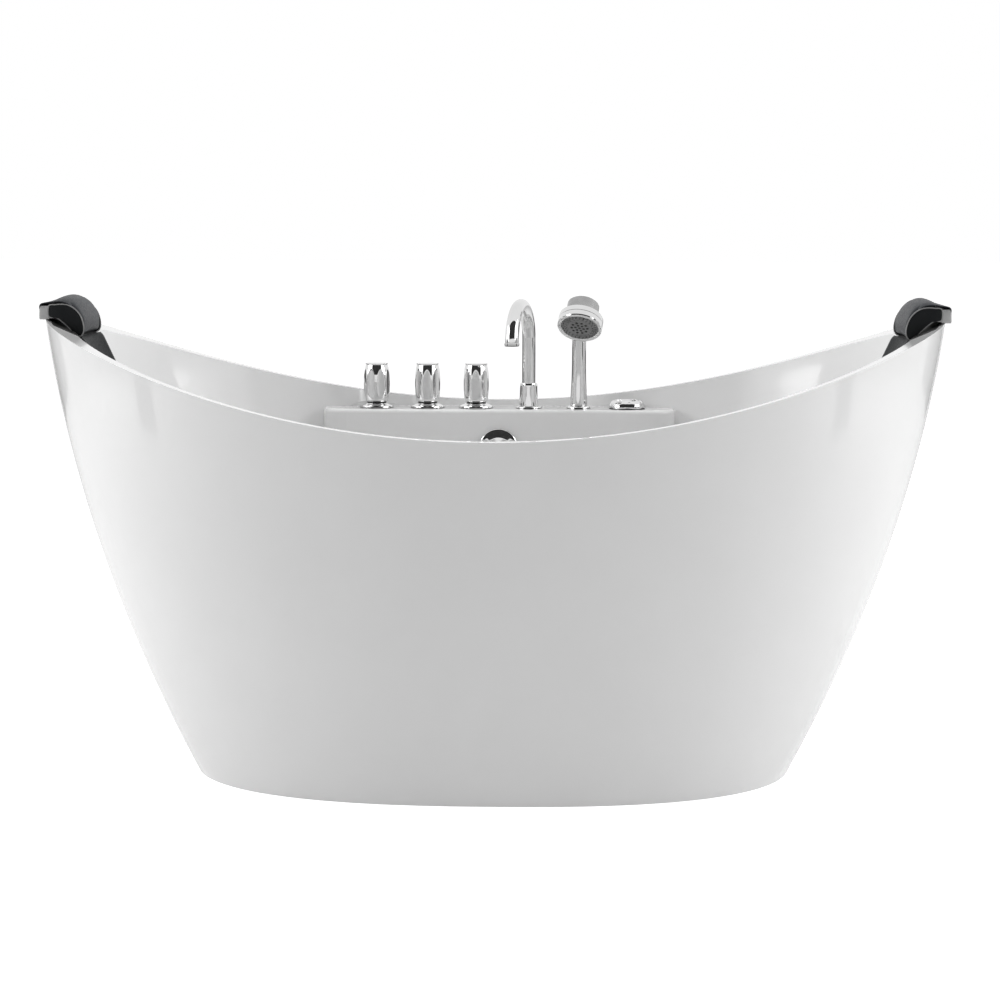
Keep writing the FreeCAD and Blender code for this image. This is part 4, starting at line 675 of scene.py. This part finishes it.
DIAL = {"core": 22.0, "bites": 5, "bite": 4.2}
DIAL_PROFILE = (
    (0.0, 1.0), (30.5, 0.8), (32.2, 1.4), (32.5, 3.0), (32.0, 6.0), (30.4, 10.0), (28.0, 13.2), (25.4, 14.8),
    (23.0, 15.0), (21.5, 14.4), (20.0, 12.6), (18.0, 12.0), (12.0, 12.6), (0.0, 13.6),
)
DOME_PROFILE = (
    (0.0, 1.0), (33.6, 0.4), (35.0, 1.2), (35.0, 4.4), (34.6, 5.6), (33.4, 6.4), (29.0, 7.6), (20.0, 9.4),
    (10.0, 10.5), (0.0, 10.8),
)
# Painted shade: a thin black ring round the foot of each fitting on the deck, by its outer radius.
CONTACT_SHADE_RINGS = {"knob_hot": 30.5, "knob_cold": 30.5, "knob_diverter": 30.5, "spout_base": 23.5,
         "shower_socket": 21.0, "air_control_knob": 32.5}
CONTACT_SHADE_WIDTH = 3.0


def scalloped(radius, _height, turn):
    """Shallow bites round the air knob."""
    if radius < DIAL["core"]:
        return radius
    wave = 0.5 + 0.5 * math.cos(DIAL["bites"] * (turn + math.pi / 2))
    return radius - DIAL["bite"] * wave ** 3


def make_air_knob():
    foot = on_deck("air_control_knob")
    bm = bmesh.new()
    turned(bm, fine_profile(DIAL_PROFILE), foot, segments=200, shape=scalloped)
    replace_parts(mesh_object("air_dial", bm, "chrome", "air_knob", 40.0), "air_control_knob")


def make_contact_shade_rings():
    """Thin dark rings at the foot of what stands on the deck: painted shade along the line where each one
    meets it.
    """
    bm = bmesh.new()
    for node, reach in CONTACT_SHADE_RINGS.items():
        hole = reach - CONTACT_SHADE_WIDTH
        turned(bm, ((hole, 0.05), (reach + 0.5, 0.05), (reach + 0.7, 0.4), (reach + 0.5, 0.9), (hole, 0.9)),
               on_deck(node), closed=True)
    mesh_object("deck_contact_shade", bm, "black_gloss", "tub")


def make_overflow():
    low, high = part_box("overflow_cap")
    at = (0.0, high[1], (low[2] + high[2]) / 2)
    bm = bmesh.new()
    turned(bm, fine_profile(DOME_PROFILE), at, (0, -1, 0), 96)
    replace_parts(mesh_object("overflow_dome", bm, "chrome", "waste_control", 40.0), "overflow_cap")


# ---------------------------------------------------------------- head rests

PILLOW = {"half_width": 72.5, "crown": 11.5, "shrink": 1.2, "voxel": 4.5, "frames": 20, "cap": 3.0}
CLOTH = {"quality": 5, "mass": 0.3, "tension_stiffness": 15.0, "compression_stiffness": 15.0,
         "shear_stiffness": 5.0, "bending_stiffness": 0.6, "use_pressure": True,
         "uniform_pressure_force": 4.0}
# Each point of a line: distance from the tub's middle, level, and its share of the crown.
CUSHION_LINE = (
    (737.0, 774.5, 0.0), (725.0, 777.0, 0.45), (714.0, 777.6, 0.85), (703.0, 775.8, 1.0),
    (692.0, 769.5, 0.85), (683.0, 758.5, 0.5), (678.3, 745.0, 0.15), (677.6, 733.5, 0.0), (680.5, 725.8, 0.0),
    (686.0, 723.0, 0.0), (693.5, 727.5, 0.0), (702.5, 737.0, 0.0), (713.0, 747.0, 0.0), (724.0, 754.5, 0.0),
    (737.0, 756.5, 0.0),
)
COVER_LINE = (
    (749.6, 769.5, 0.0), (750.0, 772.8, 0.0), (749.0, 775.6, 0.0), (745.6, 777.4, 0.0), (739.0, 778.3, 0.05),
    (730.0, 779.0, 0.28), (722.0, 779.2, 0.6), (714.0, 778.3, 0.85), (706.0, 775.6, 0.95),
    (699.0, 770.0, 0.95),
)
COVER = {"thick": 1.7, "overhang": 1.4, "crown_share": 0.985}
PANEL_STEPS = ((0.07, 70.0), (0.06, 73.0), (0.08, 74.0), (0.2, 74.6), (0.5, 75.0), (0.8, 75.2))
PIPING = {"radius": 1.1, "inset": 0.03, "aside": 73.4}
PAD = {"low": 631.0, "high": 720.5, "half_width": 85.0, "near": 0.5, "far": 6.3, "edge": 3.0}
PAD_ROUNDING = {0: 2.2, 1: 0.7, 23: 0.7, 24: 2.2}
# The plate's near edge reaches past the cushion out to the front rim: painted shade on the rim top beside the
# head rest; the rest is the saddle's own dark colour.
PLATE = {"near": -100.0, "far": 74.0, "low": 717.5, "edge": 3.2, "thick": 1.3, "rim": 0.5, "air": 0.15,
         "reach": 751.0, "step": 0.5}
WALL = {"floor": 130.0, "length_low": 420.0, "length_high": 708.0, "end_rise": 625.0, "width_low": 235.0,
        "width_high": 380.0, "side_rise": 454.0, "power_low": 2.48, "power_high": 2.16, "flare": 22.0,
        "flare_from": 715.0, "flare_rise": 40.0}
CAP_BOX = {"inner": 735.0, "outer": 752.6, "low": 751.4, "high": 774.4, "half_width": 74.0, "edge": 2.6}


def crown_at(share):
    """How far the cushion bulges at a share of its half width."""
    return PILLOW["crown"] * math.sqrt(max(1.0 - share ** 2, 0.0))


def line_at(line, share, sign, side):
    """A line of (distance, level, share of the crown) at one place over the width, in metres."""
    crown = crown_at(share)
    return [Vector((sign * away, side, level + crowned * crown)) * MM for away, level, crowned in line]


def cushion_mesh(name, sign):
    """The cushion before it is filled: a closed loft, slightly smaller than the finished form."""
    bm = bmesh.new()
    rows = []
    half = PILLOW["half_width"] - PILLOW["shrink"]
    for k in range(17):
        share = -math.cos(math.pi * k / 16)
        rows.append(smooth_path(line_at(CUSHION_LINE, share, sign, share * half), 6, closed=True))
    add_grid(bm, rows)
    bmesh.ops.recalc_face_normals(bm, faces=bm.faces)
    data = bpy.data.meshes.new(name)
    bm.to_mesh(data)
    bm.free()
    obj = bpy.data.objects.new(name, data)
    bpy.context.scene.collection.objects.link(obj)
    return obj


def with_modifiers(obj):
    """The object's mesh as its modifiers leave it."""
    bpy.context.view_layer.update()
    depsgraph = bpy.context.evaluated_depsgraph_get()
    return bpy.data.meshes.new_from_object(obj.evaluated_get(depsgraph))


def swap_mesh(obj, data):
    """Puts a finished mesh in an object in place of its modifiers."""
    old = obj.data
    obj.modifiers.clear()
    obj.data = data
    bpy.data.meshes.remove(old)


def remeshed(obj):
    """Evens the mesh out into small cells and draws it in by what the filling gives back."""
    mod = obj.modifiers.new("remesh", "REMESH")
    mod.mode = "VOXEL"
    mod.voxel_size = PILLOW["voxel"] * MM
    swap_mesh(obj, with_modifiers(obj))
    for vert in obj.data.vertices:
        vert.co -= vert.normal * PILLOW["shrink"] * MM


def filled_out(obj):
    """Swells the closed skin with cloth under pressure, with the movement of each point limited."""
    start = [vert.co.copy() for vert in obj.data.vertices]
    mod = obj.modifiers.new("cloth", "CLOTH")
    for name, value in CLOTH.items():
        setattr(mod.settings, name, value)
    mod.settings.effector_weights.gravity = 0.0
    mod.collision_settings.use_collision = False
    scene = bpy.context.scene
    for number in range(1, PILLOW["frames"] + 1):
        scene.frame_set(number)
    data = with_modifiers(obj)
    most = PILLOW["cap"] * MM
    for vert, first in zip(data.vertices, start):
        moved = vert.co - first
        if moved.length > most:
            vert.co = first + moved.normalized() * most
    swap_mesh(obj, data)
    scene.frame_set(1)


def make_cushion(side, sign):
    obj = cushion_mesh(f"cushion_{side}", sign)
    remeshed(obj)
    filled_out(obj)
    soften = obj.modifiers.new("soften", "SMOOTH")
    soften.factor = 0.5
    soften.iterations = 3
    finer = obj.modifiers.new("finer", "SUBSURF")
    finer.levels = 1
    finer.render_levels = 1
    obj.data.materials.clear()
    obj.data.materials.append(MATERIALS["cushion"])
    for face in obj.data.polygons:
        face.use_smooth = True
    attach(obj, f"head_rest_{side}")
    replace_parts(obj, f"pillow_{side}")


def make_cover(side, sign):
    """The thin skin that runs from the cushion's crown out over the end cap."""
    rows = []
    half = PILLOW["half_width"] + COVER["overhang"]
    for k in range(33):
        share = -1.0 + 2.0 * k / 32
        top = smooth_path(line_at(COVER_LINE, share * COVER["crown_share"], sign, share * half), 5)
        low = []
        for i, point in enumerate(top):
            along = (top[min(i + 1, len(top) - 1)] - top[max(i - 1, 0)]).normalized()
            inward = Vector((-along.z, 0.0, along.x)) * sign
            low.append(point - inward * COVER["thick"] * MM)
        rows.append(top + low[::-1])
    bm = bmesh.new()
    add_grid(bm, rows)
    cover = mesh_object(f"cushion_cover_{side}", bm, "cushion", f"head_rest_{side}", 50.0)


def drawn_in(edge, middle, inset, aside):
    """A loop drawn in towards its middle and set aside by a distance in millimetres."""
    return [Vector((point.x + (middle.x - point.x) * inset, aside * MM,
                    point.z + (middle.z - point.z) * inset)) for point in edge]


def make_side_panels(side, sign):
    """The dark end panels of the cushion and the piping round them."""
    panels = bmesh.new()
    cords = bmesh.new()
    for way in (-1, 1):
        edge = smooth_path(line_at(CUSHION_LINE, 1.0, sign, 0.0), 6, closed=True)
        middle = sum(edge, Vector()) / len(edge)
        add_grid(panels, [drawn_in(edge, middle, inset, way * out) for inset, out in PANEL_STEPS])
        cord = drawn_in(edge, middle, PIPING["inset"], way * PIPING["aside"])
        swept(cords, cord, PIPING["radius"], 10, closed=True)
    mesh_object(f"cushion_ends_{side}", panels, "pad", f"head_rest_{side}", 40.0)
    mesh_object(f"cushion_piping_{side}", cords, "piping", f"head_rest_{side}")


def make_cap(side, sign):
    """The silver block at the outer end of a head rest."""
    bm = bmesh.new()
    bmesh.ops.create_cube(bm, size=1.0)
    box = CAP_BOX
    size = Vector((box["outer"] - box["inner"], 2 * box["half_width"], box["high"] - box["low"]))
    centre = Vector((sign * (box["outer"] + box["inner"]) / 2, 0.0, (box["high"] + box["low"]) / 2))
    for vert in bm.verts:
        vert.co = (vert.co * size + centre) * MM
    bmesh.ops.bevel(bm, geom=bm.edges[:], offset=box["edge"] * MM, segments=4, profile=0.5, affect="EDGES")
    cap = mesh_object(f"end_cap_{side}", bm, "cap_silver", f"head_rest_{side}", 40.0)
    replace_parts(cap, f"pillow_bracket_{side}")


def top_of(tree, away, aside, sign):
    """Where the basin's surface lies straight below a point, and which way it faces."""
    start = Vector((sign * away, aside, 1000.0)) * MM
    return tree.ray_cast(start, Vector((0.0, 0.0, -1.0)))[:2]


def plate_span(tree, aside, sign):
    """The outer and inner end of the plate across the rim, at one place over its width."""
    away = PLATE["reach"]
    while (top_of(tree, away, aside, sign)[0] or Vector()).z < PLATE["low"] * MM:
        away -= PLATE["step"]
    outer = away - PLATE["edge"]
    while top_of(tree, away, aside, sign)[0].z > PLATE["low"] * MM:
        away -= PLATE["step"]
    return away, outer


EDGE_ROOM = 3.0


def between_edges(low, high, margin, count):
    """Places from edge to edge, with closer ones beside each edge so that it can be rounded."""
    start, end = low + EDGE_ROOM, high - EDGE_ROOM
    inside = [start + (end - start) * k / count for k in range(count + 1)]
    return [low, low + margin] + inside + [high - margin, high]


def make_plate(side, sign, tree):
    """The dark saddle that carries a head rest, laid over the rim and down the inner wall; its near side
    reaches past the cushion to the front rim as painted shade on the rim top there.
    """
    near, far = PLATE["near"], PLATE["far"]
    rows = []
    for aside in between_edges(near, far, 1.0, 30):
        inner, outer = plate_span(tree, aside, sign)
        thick = PLATE["thick"] if near < aside < far else PLATE["rim"]
        front, back = [], []
        for k in range(33):
            point, normal = top_of(tree, inner + (outer - inner) * k / 32, aside, sign)
            front.append(point + normal * (thick if 0 < k < 32 else PLATE["rim"]) * MM)
            back.append(point + normal * PLATE["air"] * MM)
        rows.append(front + back[::-1])
    bm = bmesh.new()
    add_grid(bm, rows)
    mesh_object(f"rest_plate_{side}", bm, "bracket_dark", f"head_rest_{side}", 35.0)


def inner_wall(level, aside, sign):
    """A point of the basin's inner end wall, in millimetres."""
    rise = level - WALL["floor"]
    half_length = WALL["length_low"] + (WALL["length_high"] - WALL["length_low"]) * rise / WALL["end_rise"]
    half_length += WALL["flare"] * max((level - WALL["flare_from"]) / WALL["flare_rise"], 0.0) ** 2
    half_width = WALL["width_low"] + (WALL["width_high"] - WALL["width_low"]) * rise / WALL["side_rise"]
    up = min(level / (WALL["floor"] + WALL["end_rise"]), 1.0)
    power = WALL["power_low"] + (WALL["power_high"] - WALL["power_low"]) * up
    away = half_length * (1.0 - abs(aside / half_width) ** power) ** (1.0 / power)
    return Vector((sign * away, aside, level))


def make_pad(side, sign):
    """The dark pad on the inner end wall, rounded at its edges."""
    rows = []
    half = PAD["half_width"]
    widths = between_edges(-half, half, 1.2, 20)
    reaches = [PAD["edge"], PAD["far"] - 1.0] + [PAD["far"]] * 21 + [PAD["far"] - 1.0, PAD["edge"]]
    for width, reach in zip(widths, reaches):
        front, back = [], []
        for k in range(25):
            level = PAD["low"] + (PAD["high"] - PAD["low"]) * k / 24
            here = inner_wall(level, width, sign)
            above = inner_wall(level + 1.0, width, sign)
            beside = inner_wall(level, width + 1.0, sign)
            normal = (above - here).cross(beside - here).normalized()
            if normal.x * sign > 0:
                normal = -normal
            depth = reach * (1.0 - PAD_ROUNDING.get(k, 0.0) / PAD["far"])
            front.append((here + normal * depth) * MM)
            back.append((here + normal * PAD["near"]) * MM)
        rows.append(front + back[::-1])
    bm = bmesh.new()
    add_grid(bm, rows)
    pad = mesh_object(f"neck_pad_{side}", bm, "pad", f"head_rest_{side}", 50.0)
    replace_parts(pad, f"pillow_pad_{side}")


def make_head_rests():
    """Both head rests, with the basin's surface to lay their plates on."""
    basin = frame["nodes"]["inner_basin"].data
    tree = BVHTree.FromPolygons([vert.co for vert in basin.vertices],
                                [list(face.vertices) for face in basin.polygons])
    for side, sign in (("left", -1), ("right", 1)):
        make_cushion(side, sign)
        make_cover(side, sign)
        make_side_panels(side, sign)
        make_cap(side, sign)
        make_plate(side, sign, tree)
        make_pad(side, sign)


make_knobs()
make_spout()
make_shower()
make_air_knob()
make_contact_shade_rings()
make_overflow()
make_head_rests()
